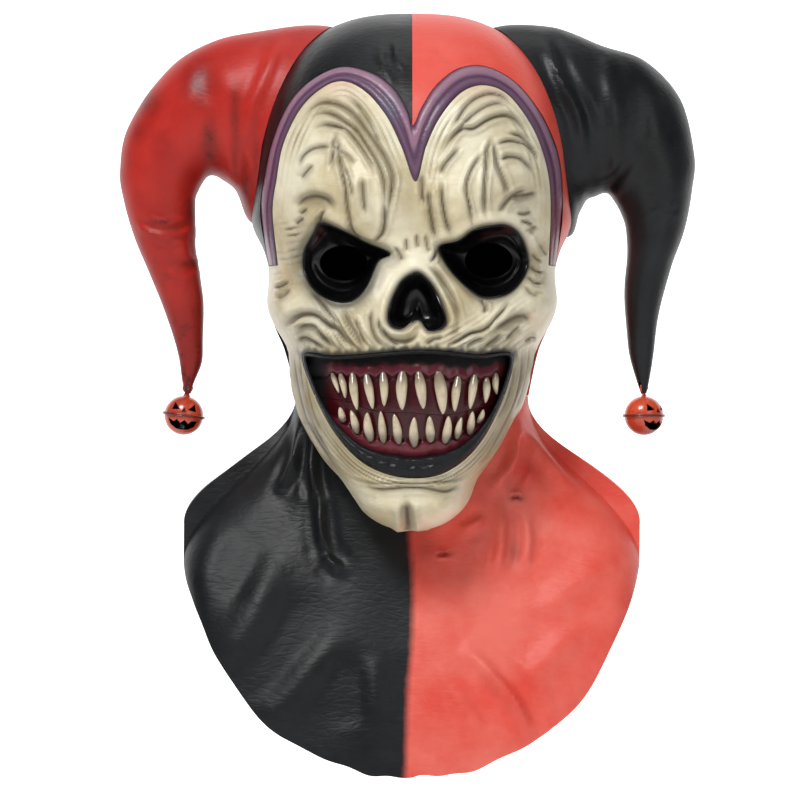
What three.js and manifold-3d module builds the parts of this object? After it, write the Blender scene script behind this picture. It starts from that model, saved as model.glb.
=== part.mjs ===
// Jester mask: a hollow latex skin with a two-coloured hood, two horns with bells, and a bib.
// Millimetres, +Z up, the face looks along -Y. The origin is the inside of the crown, where it rests.
// Left and right are as seen from the front, so left is -X.
import * as THREE from 'three';
import { mergeVertices } from 'three/addons/utils/BufferGeometryUtils.js';
import Module from 'manifold-3d';

// Driving dimensions
const FACE_HALF = 92.5; // half width of the face at the cheekbones
const HEAD_HEIGHT = 330; // crown to chin
const HEAD_FRONT = 112; // crown's middle to the brow
const HEAD_BACK = 112; // crown's middle to the back of the head
const HOOD_OVER = 9; // how far the hood stands out beside the face at the temples
const HOOD_HALF = FACE_HALF + HOOD_OVER;
const WALL = 2.2; // thickness of the latex skin
const GAP = 0.3; // clearance between neighbouring pieces
const RELIEF = 10; // height of the boldest form on the face
const RIB_RISE = 3; // how far the purple rib stands above the skin
const HORN_OUT = 94.5; // how far a horn reaches out beside the face
const HORN_REACH = FACE_HALF + HORN_OUT; // centre line to the outermost point of a horn
const HORN_DROP = 243; // crown to the tip of a horn
const HORN_DEPTH = 104; // front to back of a horn at its root
const BIB_HALF = 145.5; // half width of the bib over the shoulders
const BIB_DROP = 484; // crown to the lowest point of the front flap
const BACK_DROP = 430; // crown to the lowest point of the back flap
const CHEST_FRONT = 92; // crown's middle forward to the front flap's hem
const SHOULDER_BACK = 88; // crown's middle back to the back flap's hem
const SOCKET_DEPTH = 24; // depth of an eye socket behind the skin
const SIGHT_WIDTH = 30; // width of the sight opening in a socket
const SIGHT_HEIGHT = 22; // height of the sight opening in a socket
const SOCKET_WALL = 1.8; // wall of an eye socket and of the nose pocket
const NOSE_DEPTH = 20; // depth of the nose pocket behind the skin
const LIP_RISE = 3; // how far the lips stand above the skin
const GUM_RECESS = 7.5; // how far the gums lie behind the skin
const TOOTH_DEPTH = 6; // thickness of a tooth, front to back
const BELL_RADIUS = 12.5;
const BELL_WALL = 1.2;
const FLANGE_WIDTH = 1.3; // how far a bell's flange stands out
const FLANGE_HEIGHT = 0.9; // thickness of each half's flange
const LOOP_RADIUS = 3.4; // outside radius of a bell's loop
const LOOP_HOLE = 1.7; // radius of the hole in a bell's loop
const LOOP_THICK = 1.6; // thickness of a bell's loop
const PIN_RADIUS = 1.1; // hidden pin through the horn's tip
const LOOP_RISE = 5.2; // a loop's middle above the bell's top
const BELL_CLEAR = 2; // air between a horn's tip and its bell
const PIN_LENGTH = 5.6;
const PIN_SIDES = 10; // points round a pin, its bore and the hole in a loop
const PEA_RADIUS = 3;
const PEA_CLEAR = 0.35; // between a bell's wall and the pea that rests on it
const BELL_TILT = 0.14; // sideways lean of the left bell, in radians
const BELL_TURN = 0.82; // turn of the right bell's face to the side, in radians

// The head from crown to chin. drop is the share of HEAD_HEIGHT below the crown, hood the hood's half width
// as a share of HOOD_HALF, face the face's as a share of FACE_HALF, front the skin's reach forward as a share
// of HEAD_FRONT, back the hood's reach back as a share of HEAD_BACK, side how far forward the face's edge
// lies as a share of HEAD_FRONT, and mid the sideways lean of the face as a share of FACE_HALF.
const HEAD = [
  { drop: 0.36, hood: 1.0, face: 1.09, front: 1.0, back: 1.0, side: 0.0, mid: 0.0 },
  { drop: 0.41, hood: 1.0, face: 1.08, front: 0.98, back: 0.995, side: 0.0, mid: 0.0 },
  { drop: 0.46, hood: 0.93, face: 1.02, front: 0.96, back: 0.98, side: 0.0, mid: 0.0 },
  { drop: 0.5, hood: 0.9, face: 0.99, front: 0.97, back: 0.95, side: 0.01, mid: 0.0 },
  { drop: 0.56, hood: 0.9, face: 0.995, front: 1.0, back: 0.9, side: 0.03, mid: 0.0 },
  { drop: 0.6, hood: 0.87, face: 0.955, front: 1.02, back: 0.85, side: 0.05, mid: 0.0 },
  { drop: 0.65, hood: 0.8, face: 0.86, front: 1.04, back: 0.79, side: 0.08, mid: 0.0 },
  { drop: 0.72, hood: 0.745, face: 0.81, front: 1.05, back: 0.7, side: 0.14, mid: -0.01 },
  { drop: 0.76, hood: 0.725, face: 0.775, front: 1.05, back: 0.65, side: 0.19, mid: -0.02 },
  { drop: 0.8, hood: 0.72, face: 0.7, front: 1.04, back: 0.61, side: 0.27, mid: -0.03 },
  { drop: 0.85, hood: 0.72, face: 0.6, front: 1.02, back: 0.6, side: 0.4, mid: -0.03 },
  { drop: 0.9, hood: 0.72, face: 0.465, front: 0.99, back: 0.6, side: 0.49, mid: -0.02 },
  { drop: 0.94, hood: 0.72, face: 0.385, front: 0.95, back: 0.6, side: 0.55, mid: 0.0 },
  { drop: 0.965, hood: 0.72, face: 0.31, front: 0.91, back: 0.6, side: 0.57, mid: 0.0 },
  { drop: 0.985, hood: 0.72, face: 0.21, front: 0.85, back: 0.6, side: 0.6, mid: 0.0 },
  { drop: 0.995, hood: 0.72, face: 0.11, front: 0.79, back: 0.6, side: 0.63, mid: 0.0 },
];
const CROWN_DROP = 0.36; // share of HEAD_HEIGHT over which the crown rounds off
const CROWN_FALL = 2.4; // how late the crown turns down
const CROWN_WIDE = 2.6; // roundness of the crown from the front
const CROWN_LONG = 2.1; // roundness of the crown from the side
const SQUARE = 2.5; // exponent of the level sections, 2 for an ellipse
const NECK_TOP = 0.74; // drop at which the hood ends and the neck of the bib begins
const NECK_FRONT = 0.45; // neck's reach forward as a share of HEAD_FRONT
const HEAD_SIDES = 28; // points round a level section of the hood
const FACE_SIDES = 28; // points round a level section of the face
const JAW_TUCK = 0.24; // how far the jaw turns back under itself, a share of HEAD_FRONT
const RIB_END = 0.49; // drop where the rib ends and the face's edge meets the hood
const JAW_LIFT = 0.9; // drop below which the jaw's inside also rises by the wall
// Drops of the level sections of the hood and of the face
const HEAD_DROPS = [0.001, 0.012, 0.04, 0.085, 0.15, 0.23, 0.32, 0.41, 0.46, 0.53, 0.63, NECK_TOP];
const FACE_DROPS = [
  0.12, 0.17, 0.23, 0.29, 0.34, 0.385, 0.43, 0.48, 0.53, 0.58, 0.63, 0.68, 0.74, 0.8, 0.85, 0.9, 0.935,
  0.965, 0.985, 0.996,
];
// Drops at which the face's edge is placed
const EDGE_DROPS = [0, 0.3, RIB_END, 0.52, 0.56, 0.6, 0.65, 0.7, NECK_TOP, 0.78];

// Main forms of the face. x and drop give the middle, wide and tall the reach, as shares of FACE_HALF and
// HEAD_HEIGHT, lean the tilt in radians, and rise the height as a share of RELIEF.
const FORMS = [
  { name: 'brow left', x: -0.36, drop: 0.36, wide: 0.42, tall: 0.06, lean: -0.35, rise: 0.85 },
  { name: 'brow right', x: 0.42, drop: 0.36, wide: 0.42, tall: 0.06, lean: 0.35, rise: 0.85 },
  { name: 'brow end left', x: -0.5, drop: 0.2, wide: 0.34, tall: 0.045, lean: 0, rise: 0.3 },
  { name: 'brow end right', x: 0.54, drop: 0.2, wide: 0.34, tall: 0.045, lean: 0, rise: 0.3 },
  { name: 'between the brows', x: 0.03, drop: 0.35, wide: 0.09, tall: 0.06, lean: 0, rise: -0.5 },
  { name: 'nose bridge', x: 0.03, drop: 0.5, wide: 0.14, tall: 0.05, lean: 0, rise: 0.5 },
  { name: 'nose rim left', x: -0.19, drop: 0.58, wide: 0.12, tall: 0.045, lean: 0.3, rise: 0.8 },
  { name: 'nose rim right', x: 0.27, drop: 0.58, wide: 0.12, tall: 0.045, lean: -0.3, rise: 0.8 },
  { name: 'cheekbone left', x: -0.82, drop: 0.585, wide: 0.24, tall: 0.04, lean: 0.3, rise: 0.7 },
  { name: 'cheekbone right', x: 0.86, drop: 0.575, wide: 0.24, tall: 0.04, lean: -0.3, rise: 0.7 },
  { name: 'cheek fold left', x: -0.5, drop: 0.6, wide: 0.34, tall: 0.03, lean: -0.5, rise: 0.45 },
  { name: 'cheek fold right', x: 0.56, drop: 0.6, wide: 0.34, tall: 0.03, lean: 0.5, rise: 0.45 },
  { name: 'muzzle', x: 0, drop: 0.75, wide: 0.6, tall: 0.12, lean: 0, rise: 0.6 },
  { name: 'chin left', x: -0.17, drop: 0.95, wide: 0.16, tall: 0.035, lean: 0, rise: 0.7 },
  { name: 'chin right', x: 0.19, drop: 0.95, wide: 0.16, tall: 0.035, lean: 0, rise: 0.7 },
];

// The purple rib, from its left end over both arches to its right end. x_out and out are its upper or outer
// edge, and x_in and in its inner edge, as shares of FACE_HALF and HEAD_HEIGHT.
const RIB = [
  { x_out: -0.985, out: RIB_END, x_in: -0.92, in: RIB_END },
  { x_out: -1.035, out: 0.39, x_in: -0.953, in: 0.39 },
  { x_out: -1.005, out: 0.32, x_in: -0.925, in: 0.33 },
  { x_out: -0.94, out: 0.245, x_in: -0.878, in: 0.262 },
  { x_out: -0.83, out: 0.18, x_in: -0.765, in: 0.197 },
  { x_out: -0.67, out: 0.137, x_in: -0.62, in: 0.157 },
  { x_out: -0.47, out: 0.115, x_in: -0.475, in: 0.143 },
  { x_out: -0.26, out: 0.13, x_in: -0.32, in: 0.163 },
  { x_out: -0.12, out: 0.16, x_in: -0.175, in: 0.211 },
  { x_out: -0.035, out: 0.2, x_in: -0.07, in: 0.272 },
  { x_out: 0.002, out: 0.231, x_in: 0.022, in: 0.336 },
  { x_out: 0.065, out: 0.195, x_in: 0.095, in: 0.268 },
  { x_out: 0.165, out: 0.152, x_in: 0.195, in: 0.21 },
  { x_out: 0.32, out: 0.119, x_in: 0.34, in: 0.164 },
  { x_out: 0.5, out: 0.115, x_in: 0.5, in: 0.151 },
  { x_out: 0.69, out: 0.142, x_in: 0.655, in: 0.17 },
  { x_out: 0.84, out: 0.188, x_in: 0.8, in: 0.222 },
  { x_out: 0.945, out: 0.24, x_in: 0.885, in: 0.275 },
  { x_out: 1.012, out: 0.3, x_in: 0.932, in: 0.33 },
  { x_out: 1.025, out: 0.39, x_in: 0.945, in: 0.39 },
  { x_out: 0.985, out: RIB_END, x_in: 0.935, in: RIB_END },
];
const RIB_STATIONS = 32; // steps along the rib
// Across the rib: at is the share of its width from the outer edge, rise the height as a share of RIB_RISE.
const RIB_SECTION = [
  { at: 0, rise: 0.1 },
  { at: 0.22, rise: 1 },
  { at: 0.48, rise: 0.35 },
  { at: 0.76, rise: 0.95 },
  { at: 1, rise: 0.1 },
];

// Horns, from inside the head to the tip. x and drop are shares of HORN_REACH and HORN_DROP, first of the
// upper or outer side and then of the under or inner side, and depth is the share of HORN_DEPTH.
const HORN_LEFT = [
  { x: -0.15, drop: 0.1, x_in: -0.4, in: 0.53, depth: 0.92 },
  { x: -0.274, drop: 0.033, x_in: -0.545, in: 0.552, depth: 1.0 },
  { x: -0.49, drop: 0.04, x_in: -0.602, in: 0.463, depth: 0.9 },
  { x: -0.685, drop: 0.074, x_in: -0.65, in: 0.437, depth: 0.78 },
  { x: -0.832, drop: 0.145, x_in: -0.698, in: 0.432, depth: 0.68 },
  { x: -0.968, drop: 0.287, x_in: -0.736, in: 0.474, depth: 0.58 },
  { x: -1.0, drop: 0.408, x_in: -0.743, in: 0.503, depth: 0.52 },
  { x: -0.986, drop: 0.493, x_in: -0.743, in: 0.553, depth: 0.47 },
  { x: -0.951, drop: 0.59, x_in: -0.736, in: 0.608, depth: 0.43 },
  { x: -0.9, drop: 0.682, x_in: -0.726, in: 0.687, depth: 0.36 },
  { x: -0.856, drop: 0.764, x_in: -0.716, in: 0.764, depth: 0.29 },
  { x: -0.818, drop: 0.848, x_in: -0.716, in: 0.858, depth: 0.2 },
  { x: -0.797, drop: 0.909, x_in: -0.719, in: 0.917, depth: 0.14 },
  { x: -0.787, drop: 0.964, x_in: -0.745, in: 0.969, depth: 0.085 },
  { x: -0.778, drop: 0.998, x_in: -0.757, in: 1.0, depth: 0.06 },
];
const HORN_RIGHT = [
  { x: 0.15, drop: 0.1, x_in: 0.4, in: 0.55, depth: 0.92 },
  { x: 0.284, drop: 0.033, x_in: 0.534, in: 0.586, depth: 1.0 },
  { x: 0.469, drop: 0.034, x_in: 0.575, in: 0.521, depth: 0.9 },
  { x: 0.643, drop: 0.081, x_in: 0.609, in: 0.482, depth: 0.8 },
  { x: 0.794, drop: 0.121, x_in: 0.664, in: 0.474, depth: 0.7 },
  { x: 0.921, drop: 0.226, x_in: 0.698, in: 0.5, depth: 0.6 },
  { x: 0.965, drop: 0.371, x_in: 0.726, in: 0.548, depth: 0.52 },
  { x: 0.958, drop: 0.463, x_in: 0.733, in: 0.595, depth: 0.47 },
  { x: 0.931, drop: 0.574, x_in: 0.733, in: 0.643, depth: 0.42 },
  { x: 0.89, drop: 0.658, x_in: 0.729, in: 0.7, depth: 0.36 },
  { x: 0.863, drop: 0.735, x_in: 0.729, in: 0.756, depth: 0.3 },
  { x: 0.842, drop: 0.809, x_in: 0.733, in: 0.832, depth: 0.24 },
  { x: 0.828, drop: 0.893, x_in: 0.743, in: 0.898, depth: 0.16 },
  { x: 0.811, drop: 0.969, x_in: 0.77, in: 0.969, depth: 0.085 },
  { x: 0.803, drop: 0.998, x_in: 0.784, in: 1.0, depth: 0.06 },
];
const HORN_STEPS = 12; // rings along a horn
const HORN_SIDES = 12; // points round a horn
const TIP_RINGS = 2; // rings at the tip end that stay solid

// Outlines seen from the front, as shares of FACE_HALF and HEAD_HEIGHT.
const EYE_LEFT = [
  [-0.612, 0.413], [-0.457, 0.43], [-0.326, 0.449], [-0.151, 0.472], [-0.229, 0.487], [-0.302, 0.533],
  [-0.4, 0.561], [-0.522, 0.563], [-0.65, 0.544], [-0.728, 0.51], [-0.738, 0.47], [-0.672, 0.434],
];
const EYE_RIGHT = [
  [0.178, 0.46], [0.309, 0.448], [0.41, 0.428], [0.525, 0.419], [0.653, 0.419], [0.741, 0.441],
  [0.788, 0.487], [0.721, 0.529], [0.617, 0.551], [0.471, 0.555], [0.346, 0.531], [0.232, 0.495],
];
const NOSE = [
  [0.055, 0.51], [0.153, 0.542], [0.225, 0.594], [0.2, 0.614], [0.11, 0.618], [0.05, 0.598],
  [-0.01, 0.603], [-0.078, 0.614], [-0.15, 0.607], [-0.16, 0.58], [-0.094, 0.533], [-0.02, 0.513],
];
const MOUTH = [
  [-0.744, 0.662], [-0.542, 0.664], [-0.312, 0.661], [0, 0.654], [0.231, 0.656], [0.45, 0.662],
  [0.673, 0.66], [0.65, 0.718], [0.524, 0.801], [0.38, 0.855], [0.2, 0.888], [0, 0.896], [-0.2, 0.886],
  [-0.38, 0.857], [-0.55, 0.8], [-0.68, 0.727],
];
// Middles of the sight openings in the sockets, as shares of FACE_HALF and HEAD_HEIGHT.
const SIGHT_LEFT = { x: -0.465, drop: 0.488 };
const SIGHT_RIGHT = { x: 0.52, drop: 0.483 };

// Teeth, from left to right. root and tip give the middle at the gum and at the biting edge as shares of
// FACE_HALF and HEAD_HEIGHT, and wide the width at the root as a share of FACE_HALF.
const UPPER_TEETH = [
  { root_x: -0.535, root: 0.702, tip_x: -0.495, tip: 0.735, wide: 0.042 },
  { root_x: -0.48, root: 0.704, tip_x: -0.452, tip: 0.745, wide: 0.05 },
  { root_x: -0.4, root: 0.706, tip_x: -0.372, tip: 0.767, wide: 0.064 },
  { root_x: -0.304, root: 0.708, tip_x: -0.267, tip: 0.765, wide: 0.066 },
  { root_x: -0.196, root: 0.704, tip_x: -0.19, tip: 0.76, wide: 0.064 },
  { root_x: -0.068, root: 0.704, tip_x: -0.068, tip: 0.767, wide: 0.083 },
  { root_x: 0.047, root: 0.704, tip_x: 0.074, tip: 0.765, wide: 0.079 },
  { root_x: 0.179, root: 0.705, tip_x: 0.206, tip: 0.775, wide: 0.088 },
  { root_x: 0.305, root: 0.712, tip_x: 0.285, tip: 0.77, wide: 0.064 },
  { root_x: 0.416, root: 0.708, tip_x: 0.389, tip: 0.765, wide: 0.062 },
  { root_x: 0.5, root: 0.712, tip_x: 0.494, tip: 0.754, wide: 0.055 },
  { root_x: 0.563, root: 0.702, tip_x: 0.57, tip: 0.738, wide: 0.05 },
];
const LOWER_TEETH = [
  { root_x: -0.467, root: 0.787, tip_x: -0.487, tip: 0.762, wide: 0.055 },
  { root_x: -0.379, root: 0.806, tip_x: -0.412, tip: 0.768, wide: 0.06 },
  { root_x: -0.284, root: 0.82, tip_x: -0.304, tip: 0.772, wide: 0.07 },
  { root_x: -0.196, root: 0.822, tip_x: -0.213, tip: 0.77, wide: 0.06 },
  { root_x: -0.095, root: 0.824, tip_x: -0.122, tip: 0.775, wide: 0.066 },
  { root_x: 0.013, root: 0.83, tip_x: 0.013, tip: 0.781, wide: 0.069 },
  { root_x: 0.122, root: 0.822, tip_x: 0.115, tip: 0.779, wide: 0.068 },
  { root_x: 0.223, root: 0.824, tip_x: 0.243, tip: 0.779, wide: 0.066 },
  { root_x: 0.304, root: 0.817, tip_x: 0.331, tip: 0.781, wide: 0.05 },
  { root_x: 0.389, root: 0.808, tip_x: 0.406, tip: 0.77, wide: 0.058 },
  { root_x: 0.45, root: 0.789, tip_x: 0.478, tip: 0.766, wide: 0.048 },
];
// The line where the upper and the lower gum meet behind the teeth, as shares of FACE_HALF and HEAD_HEIGHT.
const BITE = [
  [-0.9, 0.74], [-0.5, 0.748], [-0.25, 0.769], [0, 0.773], [0.25, 0.776], [0.5, 0.76], [0.9, 0.745],
];

// The bib's hem, from the middle of the front round the side to the middle of the back. turn is the share of
// the half turn, x the share of BIB_HALF, fall the share of the drop from the top of the neck to the hem's
// lowest point, and forward the share of CHEST_FRONT, or of SHOULDER_BACK where it is negative.
const HEM = [
  { turn: 0, x: 0.0, fall: 1.0, forward: 1.0 },
  { turn: 0.12, x: 0.26, fall: 0.975, forward: 0.99 },
  { turn: 0.22, x: 0.51, fall: 0.91, forward: 0.94 },
  { turn: 0.32, x: 0.75, fall: 0.78, forward: 0.84 },
  { turn: 0.41, x: 0.93, fall: 0.58, forward: 0.62 },
  { turn: 0.5, x: 1.0, fall: 0.44, forward: 0.2 },
  { turn: 0.59, x: 0.97, fall: 0.5, forward: -0.35 },
  { turn: 0.7, x: 0.8, fall: 0.72, forward: -0.75 },
  { turn: 0.84, x: 0.45, fall: 0.93, forward: -0.95 },
  { turn: 1, x: 0.0, fall: 1.0, forward: -1.0 },
];
// How long the bib keeps the neck's direction and the hem's, as shares of its fall
const NECK_HOLD = { middle: 0.45, side: 0.38 };
const HEM_HOLD = { middle: 0.3, side: 0.36 };
const HEM_LEAN = 0.1; // how far the hem's direction leans towards the neck
const BIB_SIDES = 28;
const BIB_ROWS = 8;

// Eye socket from its rim inwards: inward is the share of the way to the sight opening, down the share of
// the depth.
const SOCKET_SIDES = 18;
const SOCKET_ROWS = [
  { inward: 0, down: 0 },
  { inward: 0.12, down: 0.35 },
  { inward: 0.5, down: 0.8 },
  { inward: 1, down: 1 },
];
// Nose pocket from its rim inwards: size is the share of the rim, down the share of the depth.
const POCKET_ROWS = [
  { size: 1, down: 0 },
  { size: 0.92, down: 0.5 },
  { size: 0.6, down: 1 },
];
// Lips: width of the upper and of the lower lip as shares of FACE_HALF, and their section. inward is the
// share of the width, rise the height as a share of LIP_RISE, deep the share of the way back to the gums.
const LIP_STATIONS = 26;
const LIP_TOP = 0.028;
const LIP_BOTTOM = 0.14;
const LIP_FROM = 0.72; // drops between which the lips widen
const LIP_TO = 0.89;
const LIP_FULL = 2.4; // how late the lips widen towards the lower lip
const LIP_SEAT = 2.4; // between the back of the lips and the gums
const LIP_SECTION = [
  { inward: 0, rise: 0.1, deep: 0 },
  { inward: 0.3, rise: 1, deep: 0 },
  { inward: 0.75, rise: 0.7, deep: 0 },
  { inward: 1, rise: 0, deep: 1 },
  { inward: 0.6, rise: 0, deep: 1 },
  { inward: 0, rise: 0, deep: 0.35 },
];
const GUM_INSET = 1.2; // from the outline of the mouth to the edge of the gums behind it
// Reach of the gums' plate before its cuts, as shares of HEAD_HEIGHT and FACE_HALF
const GUM_REACH = { top: 0.645, low: 0.905, half: 0.78 };
const GUM_ROWS = 4;
const GUM_COLUMNS = 12;
// Teeth from root to edge: along is the share of the length, across and thick the shares of width and depth.
const TOOTH_ROWS = [
  { along: 0, across: 0.85, thick: 0.6 },
  { along: 0.4, across: 1, thick: 1 },
  { along: 1, across: 0.6, thick: 0.6 },
];
const TOOTH_SECTION = [[-1, 0.1], [-0.7, 0.75], [0, 1], [0.7, 0.75], [1, 0.1], [0, 0]];
const TOOTH_SEAT = 0.45; // between a tooth and the gum that carries it
// Cut-through face of a bell, as shares of BELL_RADIUS
const BELL_EYES = [
  [[-0.5, 0.62], [-0.2, 0.3], [-0.62, 0.24]],
  [[0.5, 0.62], [0.62, 0.24], [0.2, 0.3]],
  [[0, 0.42], [0.13, 0.17], [-0.13, 0.17]],
];
const BELL_GRIN = [
  [-0.76, -0.2], [-0.45, -0.36], [-0.3, -0.22], [-0.1, -0.4], [0.1, -0.22], [0.3, -0.4], [0.45, -0.24],
  [0.76, -0.2], [0.6, -0.52], [0.3, -0.7], [0, -0.74], [-0.3, -0.7], [-0.6, -0.52],
];
const BELL_STEPS = 4;
const BELL_SIDES = 12;
const SLOT_HEIGHT = LOOP_RISE + LOOP_RADIUS; // height of the slot in a horn's tip

const wasm = await Module();
wasm.setup();
const { lerp, clamp } = THREE.MathUtils;

// Height of a drop below the crown
const level = (drop) => WALL - drop * HEAD_HEIGHT;
const dropAt = (z) => (WALL - z) / HEAD_HEIGHT;

// The row of a table at a value of one of its columns, on a smooth curve through the rows
function rowAt(rows, key, value) {
  let i = 0;
  while (i < rows.length - 2 && rows[i + 1][key] <= value) i += 1;
  const before = rows[Math.max(i - 1, 0)];
  const start = rows[i];
  const end = rows[i + 1];
  const after = rows[Math.min(i + 2, rows.length - 1)];
  const span = end[key] - start[key];
  const t = clamp((value - start[key]) / span, 0, 1);
  const found = {};
  for (const name of Object.keys(start)) {
    if (typeof start[name] !== 'number') continue;
    const leave = ((end[name] - before[name]) / (end[key] - before[key])) * span;
    const arrive = ((after[name] - start[name]) / (after[key] - start[key])) * span;
    const change = end[name] - start[name];
    const bend = 3 * change - 2 * leave - arrive + t * (leave + arrive - 2 * change);
    found[name] = start[name] + t * (leave + t * bend);
  }
  return found;
}

// The row of a table at a share of its length, on a smooth curve through the rows
function rowAlong(rows, share) {
  const counted = rows.map((row, index) => ({ ...row, index }));
  return rowAt(counted, 'index', share * (rows.length - 1));
}

// Roundness of the crown: 0 at its top and 1 where the head is full
function crown(drop, roundness) {
  const left = clamp(1 - drop / CROWN_DROP, 0, 1);
  return (1 - left ** CROWN_FALL) ** (1 / roundness);
}

// Half widths and reaches of the head at a drop, in millimetres
function headAt(drop) {
  const row = rowAt(HEAD, 'drop', clamp(drop, CROWN_DROP, HEAD[HEAD.length - 1].drop));
  return {
    hood: row.hood * HOOD_HALF * crown(drop, CROWN_WIDE),
    face: row.face * FACE_HALF * crown(drop, CROWN_WIDE),
    front: row.front * HEAD_FRONT * crown(drop, CROWN_LONG),
    back: row.back * HEAD_BACK * crown(drop, CROWN_LONG),
    side: row.side * HEAD_FRONT,
    mid: row.mid * FACE_HALF,
  };
}

// Height of the forms of the face above its plain skin
function reliefAt(x, z) {
  let total = 0;
  for (const form of FORMS) {
    const across = x - form.x * FACE_HALF;
    const up = z - level(form.drop);
    const u = (across * Math.cos(form.lean) + up * Math.sin(form.lean)) / (form.wide * FACE_HALF);
    const v = (up * Math.cos(form.lean) - across * Math.sin(form.lean)) / (form.tall * HEAD_HEIGHT);
    total += form.rise * RELIEF * Math.exp(-u * u - v * v);
  }
  return total;
}

// Y of the outer skin of the face at a point seen from the front
function faceY(x, z) {
  const head = headAt(dropAt(z));
  const across = clamp(Math.abs(x - head.mid) / head.face, 0, 1);
  const round = (1 - across ** SQUARE) ** (1 / SQUARE);
  return -(head.side + (head.front - head.side) * round) - reliefAt(x, z) * Math.min(1, round * 2);
}

// Geometry from shared points and triangles, turned outwards
function solidGeometry(points, faces) {
  let volume = 0;
  const cross = new THREE.Vector3();
  for (const [a, b, c] of faces) volume += points[a].dot(cross.crossVectors(points[b], points[c]));
  const order = volume < 0 ? faces.map(([a, b, c]) => [a, c, b]) : faces;
  const geometry = new THREE.BufferGeometry();
  const numbers = points.flatMap((p) => [p.x, p.y, p.z]);
  geometry.setAttribute('position', new THREE.Float32BufferAttribute(numbers, 3));
  geometry.setIndex(order.flat());
  return geometry;
}

// Closed solid through rings of equally many points, with flat ends
function loft(rings) {
  const points = rings.flat();
  const size = rings[0].length;
  const faces = [];
  for (let r = 0; r + 1 < rings.length; r += 1) {
    for (let i = 0; i < size; i += 1) {
      const a = r * size + i;
      const b = r * size + ((i + 1) % size);
      faces.push([a, b, b + size], [a, b + size, a + size]);
    }
  }
  for (const [ring, first, turn] of [[rings[0], 0, 1], [rings[rings.length - 1], points.length - size, -1]]) {
    const middle = new THREE.Vector3();
    ring.forEach((p) => middle.add(p));
    const hub = points.push(middle.divideScalar(size)) - 1;
    for (let i = 0; i < size; i += 1) {
      const edge = [first + ((i + 1) % size), first + i];
      if (turn < 0) edge.reverse();
      faces.push([...edge, hub]);
    }
  }
  return solidGeometry(points, faces);
}

// Closed tube whose rings run round in a loop
function closedTube(rings) {
  const size = rings[0].length;
  const points = rings.flat();
  const faces = [];
  for (let r = 0; r < rings.length; r += 1) {
    const next = (r + 1) % rings.length;
    for (let i = 0; i < size; i += 1) {
      const j = (i + 1) % size;
      faces.push([r * size + i, r * size + j, next * size + j]);
      faces.push([r * size + i, next * size + j, next * size + i]);
    }
  }
  return solidGeometry(points, faces);
}

// Closed wall between rings of an outer and of an inner skin, open along both its ends
const tubeWall = (outer, inner) => closedTube([...outer, ...[...inner].reverse()]);

// A solid that can be cut and joined, and back again
function cuttable(geometry) {
  const bare = geometry.clone();
  bare.deleteAttribute('normal');
  bare.deleteAttribute('uv');
  const merged = mergeVertices(bare, 1e-4);
  const vertProperties = new Float32Array(merged.attributes.position.array);
  const triVerts = new Uint32Array(merged.index.array);
  return new wasm.Manifold(new wasm.Mesh({ numProp: 3, vertProperties, triVerts }));
}

function geometryOf(solid) {
  const mesh = solid.getMesh();
  const geometry = new THREE.BufferGeometry();
  geometry.setAttribute('position', new THREE.Float32BufferAttribute(mesh.vertProperties, 3));
  geometry.setIndex(new THREE.Uint32BufferAttribute(mesh.triVerts, 1));
  return geometry;
}

// The largest body of a solid, without the crumbs that a cut leaves
function mainBody(solid) {
  const bodies = solid.decompose();
  return bodies.reduce((best, body) => (body.volume() > best.volume() ? body : best));
}

// Prism of a front view outline, given as points of x and z, between two depths
function frontPrism(outline, from, to) {
  const shape = new THREE.Shape(outline.map(([x, z]) => new THREE.Vector2(x, z)));
  const geometry = new THREE.ExtrudeGeometry(shape, { depth: to - from, bevelEnabled: false });
  geometry.rotateX(Math.PI / 2);
  geometry.translate(0, to, 0);
  return cuttable(geometry);
}

// Prism of a side view outline, given as points of y and z, across the whole head
function sidePrism(outline, halfWidth) {
  const shape = new THREE.Shape(outline.map(([y, z]) => new THREE.Vector2(y, z)));
  const geometry = new THREE.ExtrudeGeometry(shape, { depth: 2 * halfWidth, bevelEnabled: false });
  geometry.rotateX(Math.PI / 2);
  geometry.rotateZ(Math.PI / 2);
  geometry.translate(-halfWidth, 0, 0);
  return cuttable(geometry);
}

// Points in millimetres along a smooth closed curve through an outline held as shares
function roundOutline(outline, count) {
  const corners = outline.map(([x, drop]) => new THREE.Vector3(x * FACE_HALF, 0, level(drop)));
  const curve = new THREE.CatmullRomCurve3(corners, true, 'centripetal');
  return curve.getSpacedPoints(count).slice(0, count).map((p) => [p.x, p.z]);
}

// The same outline moved outwards by a distance, or inwards where it is negative
function offset(points, distance) {
  const count = points.length;
  let area = 0;
  points.forEach(([x, z], i) => {
    const [nx, nz] = points[(i + 1) % count];
    area += x * nz - nx * z;
  });
  const way = Math.sign(area) * distance;
  return points.map(([x, z], i) => {
    const [ax, az] = points[(i + count - 1) % count];
    const [bx, bz] = points[(i + 1) % count];
    const length = Math.hypot(bx - ax, bz - az);
    return [x + ((bz - az) / length) * way, z - ((bx - ax) / length) * way];
  });
}

// Level section of the head, with its front and its back half of different reach
function section(half, front, back, z, sides, middle = 0, shift = 0) {
  const ring = [];
  for (let i = 0; i < sides; i += 1) {
    const angle = (i / sides) * 2 * Math.PI;
    const across = Math.sign(Math.sin(angle)) * Math.abs(Math.sin(angle)) ** (2 / SQUARE);
    const along = Math.sign(Math.cos(angle)) * Math.abs(Math.cos(angle)) ** (2 / SQUARE);
    ring.push(new THREE.Vector3(middle + across * half, shift - along * (along > 0 ? front : back), z));
  }
  return ring;
}

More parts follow.
